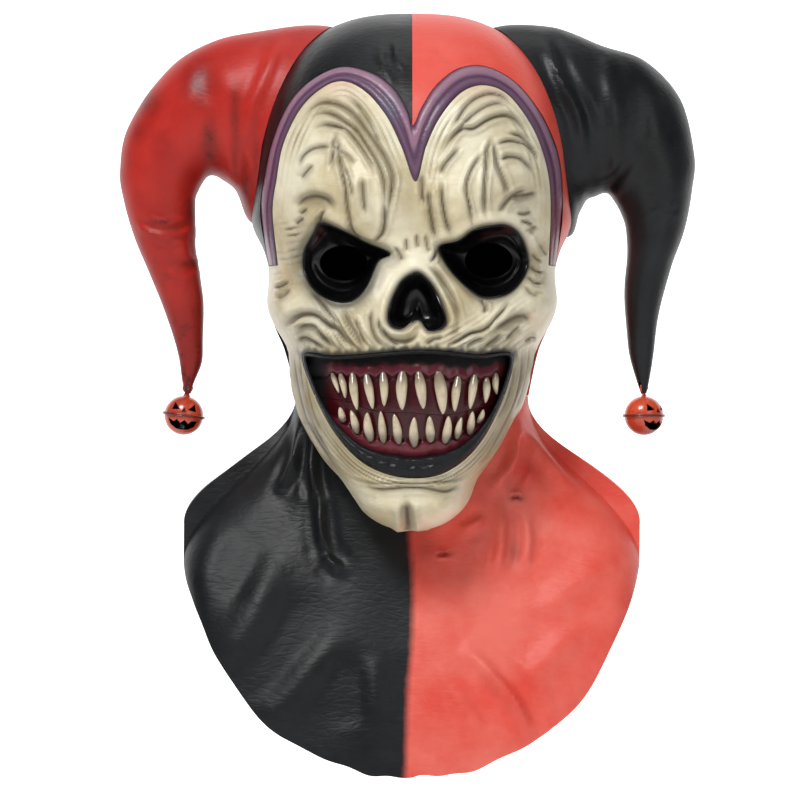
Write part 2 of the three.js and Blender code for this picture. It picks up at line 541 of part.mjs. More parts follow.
// The head's plain form, moved inwards by an inset
function headForm(inset) {
  const rings = HEAD_DROPS.map((drop, i) => {
    const head = headAt(drop);
    const last = i === HEAD_DROPS.length - 1 && inset > 0;
    const z = level(drop) - inset * (1 - drop / NECK_TOP) ** 0.5 - (last ? WALL : 0);
    const size = (reach) => Math.max(reach - inset * crown(drop * 2, CROWN_LONG), 0.5);
    return section(size(head.hood), size(head.front), size(head.back), z, HEAD_SIDES);
  });
  return cuttable(loft(rings));
}

// The face's form with its relief, moved inwards by an inset
function faceForm(inset) {
  const rings = FACE_DROPS.map((drop) => {
    const head = headAt(drop);
    const lift = inset * clamp((drop - JAW_LIFT) / (1 - JAW_LIFT), 0, 1);
    const z = level(drop) + lift;
    const half = Math.max(head.face - inset, 1);
    const reach = Math.max(head.front - head.side - inset, 1);
    const ring = section(half, reach, JAW_TUCK * HEAD_FRONT, z, FACE_SIDES, head.mid, -head.side);
    for (const p of ring) {
      if (p.y < -head.side) p.y -= reliefAt(p.x, z) * Math.min(1, (-p.y - head.side) / reach * 2);
    }
    return ring;
  });
  return cuttable(loft(rings));
}

// The rib's two edges as dense points of x and z, each with its width away from the rib
function ribEdges(spread) {
  const outer = [];
  const inner = [];
  for (let i = 0; i <= RIB_STATIONS; i += 1) {
    const row = rowAlong(RIB, i / RIB_STATIONS);
    const a = [row.x_out * FACE_HALF, level(row.out)];
    const b = [row.x_in * FACE_HALF, level(row.in)];
    const length = Math.hypot(a[0] - b[0], a[1] - b[1]);
    const step = [((a[0] - b[0]) / length) * spread, ((a[1] - b[1]) / length) * spread];
    outer.push([a[0] + step[0], a[1] + step[1]]);
    inner.push([b[0] - step[0], b[1] - step[1]]);
  }
  return { outer, inner };
}

// The purple rib: a strip with two ridges, as deep as the skin and its rise, grown by a spread
function browBand(spread) {
  const { outer, inner } = ribEdges(spread);
  const rings = outer.map((edge, i) => {
    const place = (at, rise) => {
      const x = lerp(edge[0], inner[i][0], at);
      const z = lerp(edge[1], inner[i][1], at);
      return new THREE.Vector3(x, faceY(x, z) - rise, z);
    };
    const front = RIB_SECTION.map(({ at, rise }) => place(at, rise * RIB_RISE + spread));
    const back = [...RIB_SECTION].reverse().map(({ at }) => place(at, -WALL - spread));
    return [...front, ...back];
  });
  return loft(rings);
}

// Region of the front view that the rib and the hood above it take from the face
function aboveInnerEdge(spread) {
  const { inner } = ribEdges(spread);
  const far = 2 * HOOD_HALF;
  const last = inner[inner.length - 1];
  const first = inner[0];
  return [
    [first[0], first[1] - spread], ...inner, [last[0], last[1] - spread], [far, last[1] - spread], [far, far],
    [-far, far], [-far, first[1] - spread],
  ];
}

// Region of the front view that the rib and the face below it take from the hood
function belowOuterEdge(spread) {
  const { outer } = ribEdges(spread);
  const last = outer[outer.length - 1];
  return [...outer, [last[0], last[1] - spread / 2], [outer[0][0], last[1] - spread / 2]];
}

// Line of the side view where the face's edge meets the hood, moved back by a distance, down from a drop
function edgeLine(distance, top) {
  const drops = EDGE_DROPS.filter((drop) => drop >= top);
  return drops.map((drop) => [distance - headAt(Math.max(drop, CROWN_DROP)).side, level(drop)]);
}

// Rings of a horn, moved inwards by an inset
function hornRings(rows, inset) {
  const rings = [];
  for (let step = 0; step <= HORN_STEPS; step += 1) {
    const row = rowAlong(rows, step / HORN_STEPS);
    const top = new THREE.Vector3(row.x * HORN_REACH, 0, WALL - row.drop * HORN_DROP);
    const under = new THREE.Vector3(row.x_in * HORN_REACH, 0, WALL - row.in * HORN_DROP);
    const middle = top.clone().add(under).divideScalar(2);
    const radius = top.sub(middle);
    radius.setLength(radius.length() - inset);
    const depth = (row.depth * HORN_DEPTH) / 2 - inset;
    const ring = [];
    for (let i = 0; i < HORN_SIDES; i += 1) {
      const angle = (i / HORN_SIDES) * 2 * Math.PI;
      const point = middle.clone().addScaledVector(radius, Math.cos(angle));
      point.y -= depth * Math.sin(angle);
      ring.push(point);
    }
    rings.push(ring);
  }
  return rings;
}

// The space inside a horn, which ends short of its solid tip
const hornHollow = (rows) => cuttable(loft(hornRings(rows, WALL).slice(0, -TIP_RINGS)));

// The middle of a bell's loop, inside the tip of its horn
function loopPlace(rows) {
  const tip = rows[rows.length - 1];
  const x = ((tip.x + tip.x_in) / 2) * HORN_REACH;
  return new THREE.Vector3(x, 0, WALL - tip.drop * HORN_DROP + LOOP_RISE - BELL_CLEAR);
}

// Ring of points of a closed surface of revolution about Z, as a solid
function turned(profile, sides) {
  const shape = profile.map(([radius, z]) => new THREE.Vector2(Math.max(radius, 0), z));
  const geometry = new THREE.LatheGeometry(shape, sides);
  geometry.rotateX(Math.PI / 2);
  const solid = cuttable(geometry);
  return solid.volume() < 0 ? cuttable(flipped(geometry)) : solid;
}

function flipped(geometry) {
  const turnedOver = geometry.clone();
  const index = turnedOver.index.array;
  for (let i = 0; i < index.length; i += 3) [index[i], index[i + 1]] = [index[i + 1], index[i]];
  return turnedOver;
}

function rod(radius, length, sides) {
  return cuttable(new THREE.CylinderGeometry(radius, radius, length, sides));
}

// Hollow horn that stands on the head, with a slot and a bore for the bell's loop in its tip
function horn(rows, turn, around) {
  const outside = cuttable(loft(hornRings(rows, 0)));
  const inside = hornHollow(rows);
  const slot = cuttable(new THREE.BoxGeometry(HORN_DEPTH, LOOP_THICK + 2 * GAP, 2 * SLOT_HEIGHT));
  const bore = rod(PIN_RADIUS + GAP, HORN_DEPTH, PIN_SIDES);
  const slotted = slot.translate([0, 0, LOOP_RADIUS + GAP - SLOT_HEIGHT]).add(bore);
  const place = loopPlace(rows);
  const tipCut = slotted.rotate([0, 0, THREE.MathUtils.radToDeg(turn)]).translate(place.toArray());
  const standing = around.reduce((solid, neighbour) => solid.subtract(neighbour), outside.subtract(inside));
  return mainBody(standing.subtract(tipCut));
}

// Rings of the bib, moved outwards by an offset
function bibRings(spread) {
  const neck = headAt(NECK_TOP);
  const top = level(NECK_TOP) - (spread > 0 ? 0 : GAP);
  const rings = [];
  for (let row = 0; row <= BIB_ROWS; row += 1) {
    const t = row / BIB_ROWS;
    const ring = [];
    for (let i = 0; i < BIB_SIDES; i += 1) {
      const angle = (i / BIB_SIDES) * 2 * Math.PI;
      const turn = Math.abs(angle > Math.PI ? 2 * Math.PI - angle : angle) / Math.PI;
      const hem = rowAt(HEM, 'turn', turn);
      const sideways = Math.sin(angle) < 0 ? -1 : 1;
      const across = Math.abs(Math.sin(angle)) ** (2 / SQUARE) * sideways;
      const along = Math.sign(Math.cos(angle)) * Math.abs(Math.cos(angle)) ** (2 / SQUARE);
      const reach = along > 0 ? NECK_FRONT * HEAD_FRONT : neck.back;
      const start = new THREE.Vector3(across * (neck.hood + spread), -along * (reach + spread), top);
      const drop = turn < 0.5 ? BIB_DROP : BACK_DROP;
      const reachOut = hem.forward > 0 ? CHEST_FRONT : SHOULDER_BACK;
      const end = new THREE.Vector3(
        sideways * hem.x * (BIB_HALF + spread),
        -hem.forward * (reachOut + spread),
        WALL - NECK_TOP * HEAD_HEIGHT - hem.fall * (drop - NECK_TOP * HEAD_HEIGHT),
      );
      const wide = Math.abs(Math.sin(angle)) ** 2;
      const fall = start.z - end.z;
      const first = start.clone();
      first.z -= fall * lerp(NECK_HOLD.middle, NECK_HOLD.side, wide);
      const second = end.clone();
      second.z += fall * lerp(HEM_HOLD.middle, HEM_HOLD.side, wide);
      second.y += (start.y - end.y) * HEM_LEAN;
      const curve = new THREE.CubicBezierCurve3(start, first, second, end);
      ring.push(curve.getPoint(t));
    }
    rings.push(ring);
  }
  return rings;
}

// Depth of the mouth's lining at a point of the front view
const liningY = (x, z) => faceY(x, z) + GUM_RECESS;

// Eye socket: a glossy cup whose floor holds the sight opening
function eyeSocket(outline, sight) {
  const middle = [sight.x * FACE_HALF, level(sight.drop)];
  const rim = offset(roundOutline(outline, SOCKET_SIDES), -GAP);
  const floorY = faceY(middle[0], middle[1]) + SOCKET_DEPTH;
  const skin = (inset, extra) =>
    SOCKET_ROWS.map(({ inward, down }) =>
      rim.map(([x, z]) => {
        const angle = Math.atan2((z - middle[1]) / SIGHT_HEIGHT, (x - middle[0]) / SIGHT_WIDTH);
        const hole = [
          middle[0] + Math.cos(angle) * (SIGHT_WIDTH / 2 + extra),
          middle[1] + Math.sin(angle) * (SIGHT_HEIGHT / 2 + extra),
        ];
        const from = [x - (x - middle[0]) * inset, z - (z - middle[1]) * inset];
        const y = lerp(faceY(x, z), floorY, down) + (down > 0 ? extra : 0);
        return new THREE.Vector3(lerp(from[0], hole[0], inward), y, lerp(from[1], hole[1], inward));
      }),
    );
  return tubeWall(skin(0, SOCKET_WALL), skin(SOCKET_WALL / (SIGHT_WIDTH / 2 + SOCKET_WALL), 0));
}

// Nose pocket, closed at its back
function nosePocket() {
  const rim = offset(roundOutline(NOSE, SOCKET_SIDES), -GAP);
  const middle = [0, 0];
  rim.forEach(([x, z]) => {
    middle[0] += x / rim.length;
    middle[1] += z / rim.length;
  });
  const deepest = faceY(middle[0], middle[1]) + NOSE_DEPTH;
  const skin = (inset, extra) =>
    POCKET_ROWS.map(({ size, down }) =>
      rim.map(([x, z]) => {
        const scale = size * (1 - inset);
        const y = lerp(faceY(x, z), deepest, down) + (down > 0 ? extra : 0);
        return new THREE.Vector3(lerp(middle[0], x, scale), y, lerp(middle[1], z, scale));
      }),
    );
  const back = skin(0, SOCKET_WALL);
  const front = skin(0.22, 0);
  return loft([...back.reverse(), ...front]);
}

// Lips: a rolled ring round the mouth. inward is the share of the lip's width, rise the height over the skin
function lipRing() {
  const edge = offset(roundOutline(MOUTH, LIP_STATIONS), -GAP);
  const rings = edge.map(([x, z], i) => {
    const [ax, az] = edge[(i + LIP_STATIONS - 1) % LIP_STATIONS];
    const [bx, bz] = edge[(i + 1) % LIP_STATIONS];
    const length = Math.hypot(bx - ax, bz - az);
    const drop = dropAt(z);
    const lower = clamp((drop - LIP_FROM) / (LIP_TO - LIP_FROM), 0, 1) ** LIP_FULL;
    const width = FACE_HALF * lerp(LIP_TOP, LIP_BOTTOM, lower);
    let normal = [(bz - az) / length, -(bx - ax) / length];
    const centre = [0, level(0.75)];
    if (normal[0] * (centre[0] - x) + normal[1] * (centre[1] - z) < 0) normal = [-normal[0], -normal[1]];
    return LIP_SECTION.map(({ inward, rise, deep }) => {
      const px = x + normal[0] * width * inward;
      const pz = z + normal[1] * width * inward;
      return new THREE.Vector3(px, faceY(px, pz) - rise * LIP_RISE + deep * (GUM_RECESS - LIP_SEAT), pz);
    });
  });
  return closedTube(rings);
}

// Y of the front of the gums' plate, which runs straight between its rows and columns
function plateY(x, z) {
  const { top, low, half } = GUM_REACH;
  const u = clamp(((x / FACE_HALF + half) / (2 * half)) * GUM_COLUMNS, 0, GUM_COLUMNS - 1e-6);
  const v = clamp(((dropAt(z) - top) / (low - top)) * GUM_ROWS, 0, GUM_ROWS - 1e-6);
  const corner = (i, j) => {
    return liningY(lerp(-half, half, i / GUM_COLUMNS) * FACE_HALF, level(lerp(top, low, j / GUM_ROWS)));
  };
  const [i, j] = [Math.floor(u), Math.floor(v)];
  const above = lerp(corner(i, j), corner(i + 1, j), u - i);
  const below = lerp(corner(i, j + 1), corner(i + 1, j + 1), u - i);
  return lerp(above, below, v - j);
}

// Gums: a curved plate behind the lips, cut along the bite line
function gums() {
  const region = offset(roundOutline(MOUTH, LIP_STATIONS), -GUM_INSET);
  const rings = [];
  for (let row = 0; row <= GUM_ROWS; row += 1) {
    const z = level(lerp(GUM_REACH.top, GUM_REACH.low, row / GUM_ROWS));
    const front = [];
    const back = [];
    for (let i = 0; i <= GUM_COLUMNS; i += 1) {
      const x = lerp(-GUM_REACH.half, GUM_REACH.half, i / GUM_COLUMNS) * FACE_HALF;
      const y = liningY(x, z);
      front.push(new THREE.Vector3(x, y, z));
      back.unshift(new THREE.Vector3(x, y + WALL, z));
    }
    rings.push([...front, ...back]);
  }
  const plate = cuttable(loft(rings)).intersect(frontPrism(region, -2 * HEAD_FRONT, 0));
  const corners = BITE.map(([x, drop]) => new THREE.Vector3(x * FACE_HALF, 0, level(drop)));
  const bite = new THREE.CatmullRomCurve3(corners).getPoints(GUM_COLUMNS).map((p) => [p.x, p.z]);
  const upper = bite.map(([x, z]) => [x, z + GAP / 2]).concat([[HOOD_HALF, 0], [-HOOD_HALF, 0]]);
  const lower = bite.map(([x, z]) => [x, z - GAP / 2]).concat([[HOOD_HALF, level(1)], [-HOOD_HALF, level(1)]]);
  return [upper, lower].map((half) => mainBody(plate.intersect(frontPrism(half, -2 * HEAD_FRONT, 0))));
}

// Tooth: a rounded peg from its root on the gum to its biting edge
function tooth({ root_x, root, tip_x, tip, wide }) {
  const width = wide * FACE_HALF;
  const rings = TOOTH_ROWS.map(({ along, across, thick }) => {
    const x = lerp(root_x, tip_x, along) * FACE_HALF;
    const z = level(lerp(root, tip, along));
    const half = (width * across) / 2;
    const slope = (plateY(x + half, z) - plateY(x - half, z)) / (2 * half);
    const seat = plateY(x, z) - TOOTH_SEAT;
    return TOOTH_SECTION.map(([u, v]) => {
      return new THREE.Vector3(x + u * half, seat + u * half * slope - v * thick * TOOTH_DEPTH, z);
    });
  });
  return loft(rings);
}

// Half shell of a bell with its flange, above its middle where up is 1 and below it where up is -1
function bellShell(up) {
  const inner = BELL_RADIUS - BELL_WALL;
  const start = GAP / 2;
  const profile = [];
  for (let i = 0; i <= BELL_STEPS; i += 1) {
    const angle = Math.asin(start / inner) + (i / BELL_STEPS) * (Math.PI / 2 - Math.asin(start / inner));
    profile.push([inner * Math.cos(angle), up * inner * Math.sin(angle)]);
  }
  for (let i = BELL_STEPS; i >= 1; i -= 1) {
    const low = Math.asin((start + FLANGE_HEIGHT) / BELL_RADIUS);
    const angle = low + ((i - 1) / (BELL_STEPS - 1)) * (Math.PI / 2 - low);
    profile.push([BELL_RADIUS * Math.cos(angle), up * BELL_RADIUS * Math.sin(angle)]);
  }
  profile.push([BELL_RADIUS + FLANGE_WIDTH, up * (start + FLANGE_HEIGHT)]);
  profile.push([BELL_RADIUS + FLANGE_WIDTH, up * start]);
  profile.push(profile[0]);
  return turned(profile, BELL_SIDES);
}

// The cut-through face of a bell, in shares of its radius
function bellCut(outline) {
  const points = outline.map(([x, z]) => [x * BELL_RADIUS, z * BELL_RADIUS]);
  return frontPrism(points, -2 * BELL_RADIUS, -BELL_RADIUS * 0.3);
}

// The four pieces of a bell, about the middle of its loop
function bellPieces() {
  const middle = -BELL_RADIUS - LOOP_RISE;
  const disc = rod(LOOP_RADIUS, LOOP_THICK, BELL_SIDES);
  const block = cuttable(new THREE.BoxGeometry(LOOP_RADIUS, LOOP_THICK, LOOP_RISE));
  const foot = block.translate([0, 0, -LOOP_RISE * 0.75]);
  const ball = cuttable(new THREE.SphereGeometry(BELL_RADIUS - BELL_WALL / 2, 10, 8));
  const inside = ball.translate([0, 0, middle]);
  const hole = rod(LOOP_HOLE, 3 * LOOP_THICK, PIN_SIDES);
  let shell = bellShell(1);
  for (const outline of BELL_EYES) shell = shell.subtract(bellCut(outline));
  const cap = shell.translate([0, 0, middle]).add(disc.add(foot).subtract(inside)).subtract(hole);
  const base = bellShell(-1).subtract(bellCut(BELL_GRIN)).translate([0, 0, middle]);
  const rest = BELL_RADIUS - BELL_WALL - PEA_RADIUS - PEA_CLEAR;
  const pea = cuttable(new THREE.SphereGeometry(PEA_RADIUS, 8, 6)).translate([0, 0, middle - rest]);
  return { cap: mainBody(cap), base: mainBody(base), pea, pin: rod(PIN_RADIUS, PIN_LENGTH, PIN_SIDES) };
}

const part = new THREE.Group();
const FINISHES = {
  bone: { color: 0xd8cda6, roughness: 0.5 },
  red: { color: 0xd63c30, roughness: 0.45 },
  dark_red: { color: 0xb02a24, roughness: 0.45 },
  black: { color: 0x26282b, roughness: 0.4 },
  purple: { color: 0x70467a, roughness: 0.5 },
  gum: { color: 0x5a2028, roughness: 0.35 },
  ivory: { color: 0xd9cfae, roughness: 0.2 },
  orange: { color: 0xd4552f, roughness: 0.3, metalness: 0.3 },
  steel: { color: 0x9a9da0, roughness: 0.35, metalness: 1 },
};

function add(name, solid, finish, group = part) {
  const geometry = solid.isBufferGeometry ? solid : geometryOf(solid);
  const mesh = new THREE.Mesh(geometry, new THREE.MeshStandardMaterial(FINISHES[finish]));
  mesh.name = name;
  group.add(mesh);
}

// Head: the skin of the hood and of the face, shared out along the rib and the face's edge
const far = 3 * HORN_REACH;
const behindFace = sidePrism([...edgeLine(0, 0), [far, level(0.78)], [far, far], [0, far]], far);
const beforeHood = edgeLine(GAP, RIB_END);
const hoodTop = beforeHood[0];
const hoodEnd = beforeHood[beforeHood.length - 1];
const frontTop = hoodTop[1] + GAP;
const beforeEdge = [[-far, frontTop], [hoodTop[0], frontTop], ...beforeHood, [-far, hoodEnd[1]]];
const frontOfHood = sidePrism(beforeEdge, far);
const bibAround = cuttable(loft(bibRings(GAP)));
const hornHollows = [HORN_LEFT, HORN_RIGHT].map(hornHollow);

let face = faceForm(0).subtract(faceForm(WALL)).subtract(frontPrism(aboveInnerEdge(GAP), -far, far));
const neckLine = level(NECK_TOP);
const aboveNeck = frontPrism([[-far, neckLine], [far, neckLine], [far, far], [-far, far]], -far, far);
face = face.subtract(behindFace.intersect(aboveNeck)).subtract(bibAround);
for (const outline of [EYE_LEFT, EYE_RIGHT, NOSE]) {
  face = face.subtract(frontPrism(roundOutline(outline, SOCKET_SIDES), -far, -HEAD_FRONT / 4));
}
face = face.subtract(frontPrism(roundOutline(MOUTH, LIP_STATIONS), -far, -HEAD_FRONT / 4));
add('face', mainBody(face), 'bone');
add('brow_band', browBand(0), 'purple');

let hood = headForm(0).subtract(headForm(WALL)).subtract(frontPrism(belowOuterEdge(GAP), -far, 0));
hood = hood.subtract(frontOfHood);
for (const hollow of hornHollows) hood = hood.subtract(hollow);
const leftSide = cuttable(new THREE.BoxGeometry(far, 2 * far, 2 * far));
add('hood_left', mainBody(hood.intersect(leftSide.translate([-(far + GAP) / 2, 0, 0]))), 'black');
add('hood_right', mainBody(hood.intersect(leftSide.translate([(far + GAP) / 2, 0, 0]))), 'red');

// Horns, which stand on the hood clear of the rib
const hornSeat = [headForm(-GAP), cuttable(browBand(GAP))];
add('horn_left', horn(HORN_LEFT, 0, hornSeat), 'dark_red');
add('horn_right', horn(HORN_RIGHT, BELL_TURN, hornSeat), 'black');

// Bib
add('bib', tubeWall(bibRings(0), bibRings(-WALL)), 'red');

// Eyes, nose and mouth
add('eye_socket_left', eyeSocket(EYE_LEFT, SIGHT_LEFT), 'black');
add('eye_socket_right', eyeSocket(EYE_RIGHT, SIGHT_RIGHT), 'black');
add('nose_cavity', nosePocket(), 'black');
add('lips', lipRing(), 'black');
const [gumUpper, gumLower] = gums();
add('gum_upper', gumUpper, 'gum');
add('gum_lower', gumLower, 'gum');
for (const [row, teeth] of [['upper', UPPER_TEETH], ['lower', LOWER_TEETH]]) {
  teeth.forEach((shape, i) => add(`${row}_tooth_${String(i + 1).padStart(2, '0')}`, tooth(shape), 'ivory'));
}

// Bells, hung in the horns' tips
const HUNG = [
  ['left', HORN_LEFT, BELL_TILT, 0],
  ['right', HORN_RIGHT, 0, BELL_TURN],
];
for (const [side, rows, lean, turn] of HUNG) {
  const bell = new THREE.Group();
  bell.position.copy(loopPlace(rows));
  bell.rotation.set(0, lean, turn);
  const { cap, base, pea, pin } = bellPieces();
  add(`bell_cap_${side}`, cap, 'orange', bell);
  add(`bell_base_${side}`, base, 'orange', bell);
  add(`bell_pea_${side}`, pea, 'steel', bell);
  add(`bell_pin_${side}`, pin, 'steel', bell);
  part.add(bell);
}

export default part;
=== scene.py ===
import math

import bpy
import numpy as np
from bpy.props import FloatProperty, FloatVectorProperty, PointerProperty
from mathutils import Matrix


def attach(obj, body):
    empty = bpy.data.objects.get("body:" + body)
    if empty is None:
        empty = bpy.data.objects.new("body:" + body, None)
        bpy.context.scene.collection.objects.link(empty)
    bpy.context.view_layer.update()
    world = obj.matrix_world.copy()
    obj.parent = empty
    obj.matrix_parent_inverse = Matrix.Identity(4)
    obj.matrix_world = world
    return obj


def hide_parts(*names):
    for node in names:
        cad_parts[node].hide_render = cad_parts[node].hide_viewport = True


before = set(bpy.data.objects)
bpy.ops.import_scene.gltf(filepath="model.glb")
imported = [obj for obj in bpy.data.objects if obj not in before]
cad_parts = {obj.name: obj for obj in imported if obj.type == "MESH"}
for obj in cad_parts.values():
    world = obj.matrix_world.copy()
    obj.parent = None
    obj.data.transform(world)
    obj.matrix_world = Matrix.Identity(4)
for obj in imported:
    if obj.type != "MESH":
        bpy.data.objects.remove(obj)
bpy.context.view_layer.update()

bl_info = {
    "name": "Jester mask",
    "version": (1, 0, 0),
    "blender": (4, 5, 0),
    "location": "3D View > Sidebar > Jester mask",
    "description": "Builds a painted latex jester mask with two horns, bells and a bib",
    "category": "Add Mesh",
}

# Lengths are in millimetres and are made metres when a mesh is filled. Left and right are as seen from the
# front, so left is -X. The face looks along -Y and the inside of the crown is the origin.
MM = 0.001
FACE_HALF = 92.5
HEAD_HEIGHT = 330
HEAD_FRONT = 112
HEAD_BACK = 112
HOOD_HALF = 101.5
WALL = 2.2
GAP = 0.3
RELIEF = 10
HORN_REACH = 187
HORN_DROP = 243
HORN_DEPTH = 104
BIB_HALF = 145.5
BIB_DROP = 484
BACK_DROP = 430
CHEST_FRONT = 92
SHOULDER_BACK = 88
SOCKET_DEPTH = 24
SIGHT_WIDTH = 30
SIGHT_HEIGHT = 22
SOCKET_WALL = 1.8
NOSE_DEPTH = 20
LIP_RISE = 3
GUM_RECESS = 7.5
BELL_RADIUS = 12.5
BELL_WALL = 1.2
FLANGE_WIDTH = 1.3
FLANGE_HEIGHT = 0.9
LOOP_RADIUS = 3.4
LOOP_HOLE = 1.7
LOOP_THICK = 1.6
LOOP_RISE = 5.2
BELL_CLEAR = 2
PIN_RADIUS = 1.1
PEA_RADIUS = 3
PEA_CLEAR = 0.35
BELL_TILT = 0.14
BELL_TURN = 0.82

# Far beyond the mask, for the tools that cut it
FAR = 3 * HORN_REACH
# How far a groove may sink into the wall
GROOVE = 1.7
# Drops between which the face is lofted before it is cut
FACE_SPAN = (0.12, 0.996)
# Width of the lips above and below, as shares of FACE_HALF
LIP_NARROW = 0.028
LIP_BROAD = 0.14
# Between the teeth a gum's roll reaches this far past the roots, and over a tooth it arches back this far
GUM_LEAST = 1.2
GUM_ARCH = 3.0
# Height of a bell's middle below its loop
BELL_MIDDLE = -BELL_RADIUS - LOOP_RISE

# The head from crown to chin: share of the height, then half widths and reaches as shares of their sizes.
# Columns: drop, hood, face, front, back, side, mid
HEAD = [
    (0.36, 1.0, 1.09, 1.0, 1.0, 0.0, 0.0),
    (0.41, 1.0, 1.08, 0.98, 0.995, 0.0, 0.0),
    (0.46, 0.93, 1.02, 0.96, 0.98, 0.0, 0.0),
    (0.5, 0.9, 0.99, 0.97, 0.95, 0.01, 0.0),
    (0.56, 0.9, 0.995, 1.0, 0.9, 0.03, 0.0),
    (0.6, 0.87, 0.955, 1.02, 0.85, 0.05, 0.0),
    (0.65, 0.8, 0.86, 1.04, 0.79, 0.08, 0.0),
    (0.72, 0.745, 0.81, 1.05, 0.7, 0.14, -0.01),
    (0.76, 0.725, 0.775, 1.05, 0.65, 0.19, -0.02),
    (0.8, 0.72, 0.7, 1.04, 0.61, 0.27, -0.03),
    (0.85, 0.72, 0.6, 1.02, 0.6, 0.4, -0.03),
    (0.9, 0.72, 0.465, 0.99, 0.6, 0.49, -0.02),
    (0.94, 0.72, 0.385, 0.95, 0.6, 0.55, 0.0),
    (0.965, 0.72, 0.31, 0.91, 0.6, 0.57, 0.0),
    (0.985, 0.72, 0.21, 0.85, 0.6, 0.6, 0.0),
    (0.995, 0.72, 0.11, 0.79, 0.6, 0.63, 0.0),
]
CROWN_DROP = 0.36
CROWN_FALL = 2.4
CROWN_WIDE = 2.6
CROWN_LONG = 2.1
SQUARE = 2.5
NECK_TOP = 0.74
NECK_FRONT = 0.45
JAW_TUCK = 0.24
JAW_LIFT = 0.9
RIB_END = 0.49
EDGE_DROPS = [0, 0.3, RIB_END, 0.52, 0.56, 0.6, 0.65, 0.7, NECK_TOP, 0.78]

# Main forms of the face: middle, reach across and up as shares, lean in radians, height as a share of RELIEF.
# Columns: x, drop, wide, tall, lean, rise
FORMS = [
    (-0.36, 0.36, 0.42, 0.06, -0.35, 0.85),
    (0.42, 0.36, 0.42, 0.06, 0.35, 0.85),
    (-0.5, 0.2, 0.34, 0.045, 0, 0.3),
    (0.54, 0.2, 0.34, 0.045, 0, 0.3),
    (0.03, 0.35, 0.09, 0.06, 0, -0.5),
    (0.03, 0.5, 0.14, 0.05, 0, 0.5),
    (-0.19, 0.58, 0.12, 0.045, 0.3, 0.8),
    (0.27, 0.58, 0.12, 0.045, -0.3, 0.8),
    (-0.82, 0.585, 0.24, 0.04, 0.3, 0.7),
    (0.86, 0.575, 0.24, 0.04, -0.3, 0.7),
    (-0.5, 0.6, 0.34, 0.03, -0.5, 0.45),
    (0.56, 0.6, 0.34, 0.03, 0.5, 0.45),
    (0, 0.75, 0.6, 0.12, 0, 0.6),
    (-0.17, 0.95, 0.16, 0.035, 0, 0.7),
    (0.19, 0.95, 0.16, 0.035, 0, 0.7),
]

# The purple rib: outer edge, then inner edge. Columns: x_out, out, x_in, in
RIB = [
    (-0.985, RIB_END, -0.92, RIB_END), (-1.035, 0.39, -0.953, 0.39), (-1.005, 0.32, -0.925, 0.33),
    (-0.94, 0.245, -0.878, 0.262), (-0.83, 0.18, -0.765, 0.197), (-0.67, 0.137, -0.62, 0.157),
    (-0.47, 0.115, -0.475, 0.143), (-0.26, 0.13, -0.32, 0.163), (-0.12, 0.16, -0.175, 0.211),
    (-0.035, 0.2, -0.07, 0.272), (0.002, 0.231, 0.022, 0.336), (0.065, 0.195, 0.095, 0.268),
    (0.165, 0.152, 0.195, 0.21), (0.32, 0.119, 0.34, 0.164), (0.5, 0.115, 0.5, 0.151),
    (0.69, 0.142, 0.655, 0.17), (0.84, 0.188, 0.8, 0.222), (0.945, 0.24, 0.885, 0.275),
    (1.012, 0.3, 0.932, 0.33), (1.025, 0.39, 0.945, 0.39), (0.985, RIB_END, 0.935, RIB_END),
]
# Across the rib: share of its width, height as a share of the rib's rise
RIB_SECTION = [
    (0, 0.05), (0.08, 0.7), (0.22, 1), (0.4, 0.92), (0.52, 0.55), (0.6, 0.5), (0.76, 0.62), (0.9, 0.4),
    (1, 0.05),
]

# Horns: upper or outer side, then under or inner side, then depth. Columns: x, drop, x_in, in, depth
HORN_LEFT = [
    (-0.15, 0.1, -0.4, 0.53, 0.92), (-0.274, 0.033, -0.545, 0.552, 1), (-0.49, 0.04, -0.602, 0.463, 0.9),
    (-0.685, 0.074, -0.65, 0.437, 0.78), (-0.832, 0.145, -0.698, 0.432, 0.68),
    (-0.968, 0.287, -0.736, 0.474, 0.58), (-1, 0.408, -0.743, 0.503, 0.52),
    (-0.986, 0.493, -0.743, 0.553, 0.47), (-0.951, 0.59, -0.736, 0.608, 0.43),
    (-0.9, 0.682, -0.726, 0.687, 0.36), (-0.856, 0.764, -0.716, 0.764, 0.29),
    (-0.818, 0.848, -0.716, 0.858, 0.2), (-0.797, 0.909, -0.719, 0.917, 0.14),
    (-0.787, 0.964, -0.745, 0.969, 0.085), (-0.778, 0.998, -0.757, 1, 0.06),
]
HORN_RIGHT = [
    (0.15, 0.1, 0.4, 0.55, 0.92), (0.284, 0.033, 0.534, 0.586, 1), (0.469, 0.034, 0.575, 0.521, 0.9),
    (0.643, 0.081, 0.609, 0.482, 0.8), (0.794, 0.121, 0.664, 0.474, 0.7), (0.921, 0.226, 0.698, 0.5, 0.6),
    (0.965, 0.371, 0.726, 0.548, 0.52), (0.958, 0.463, 0.733, 0.595, 0.47),
    (0.931, 0.574, 0.733, 0.643, 0.42), (0.89, 0.658, 0.729, 0.7, 0.36), (0.863, 0.735, 0.729, 0.756, 0.3),
    (0.842, 0.809, 0.733, 0.832, 0.24), (0.828, 0.893, 0.743, 0.898, 0.16),
    (0.811, 0.969, 0.77, 0.969, 0.085), (0.803, 0.998, 0.784, 1, 0.06),
]

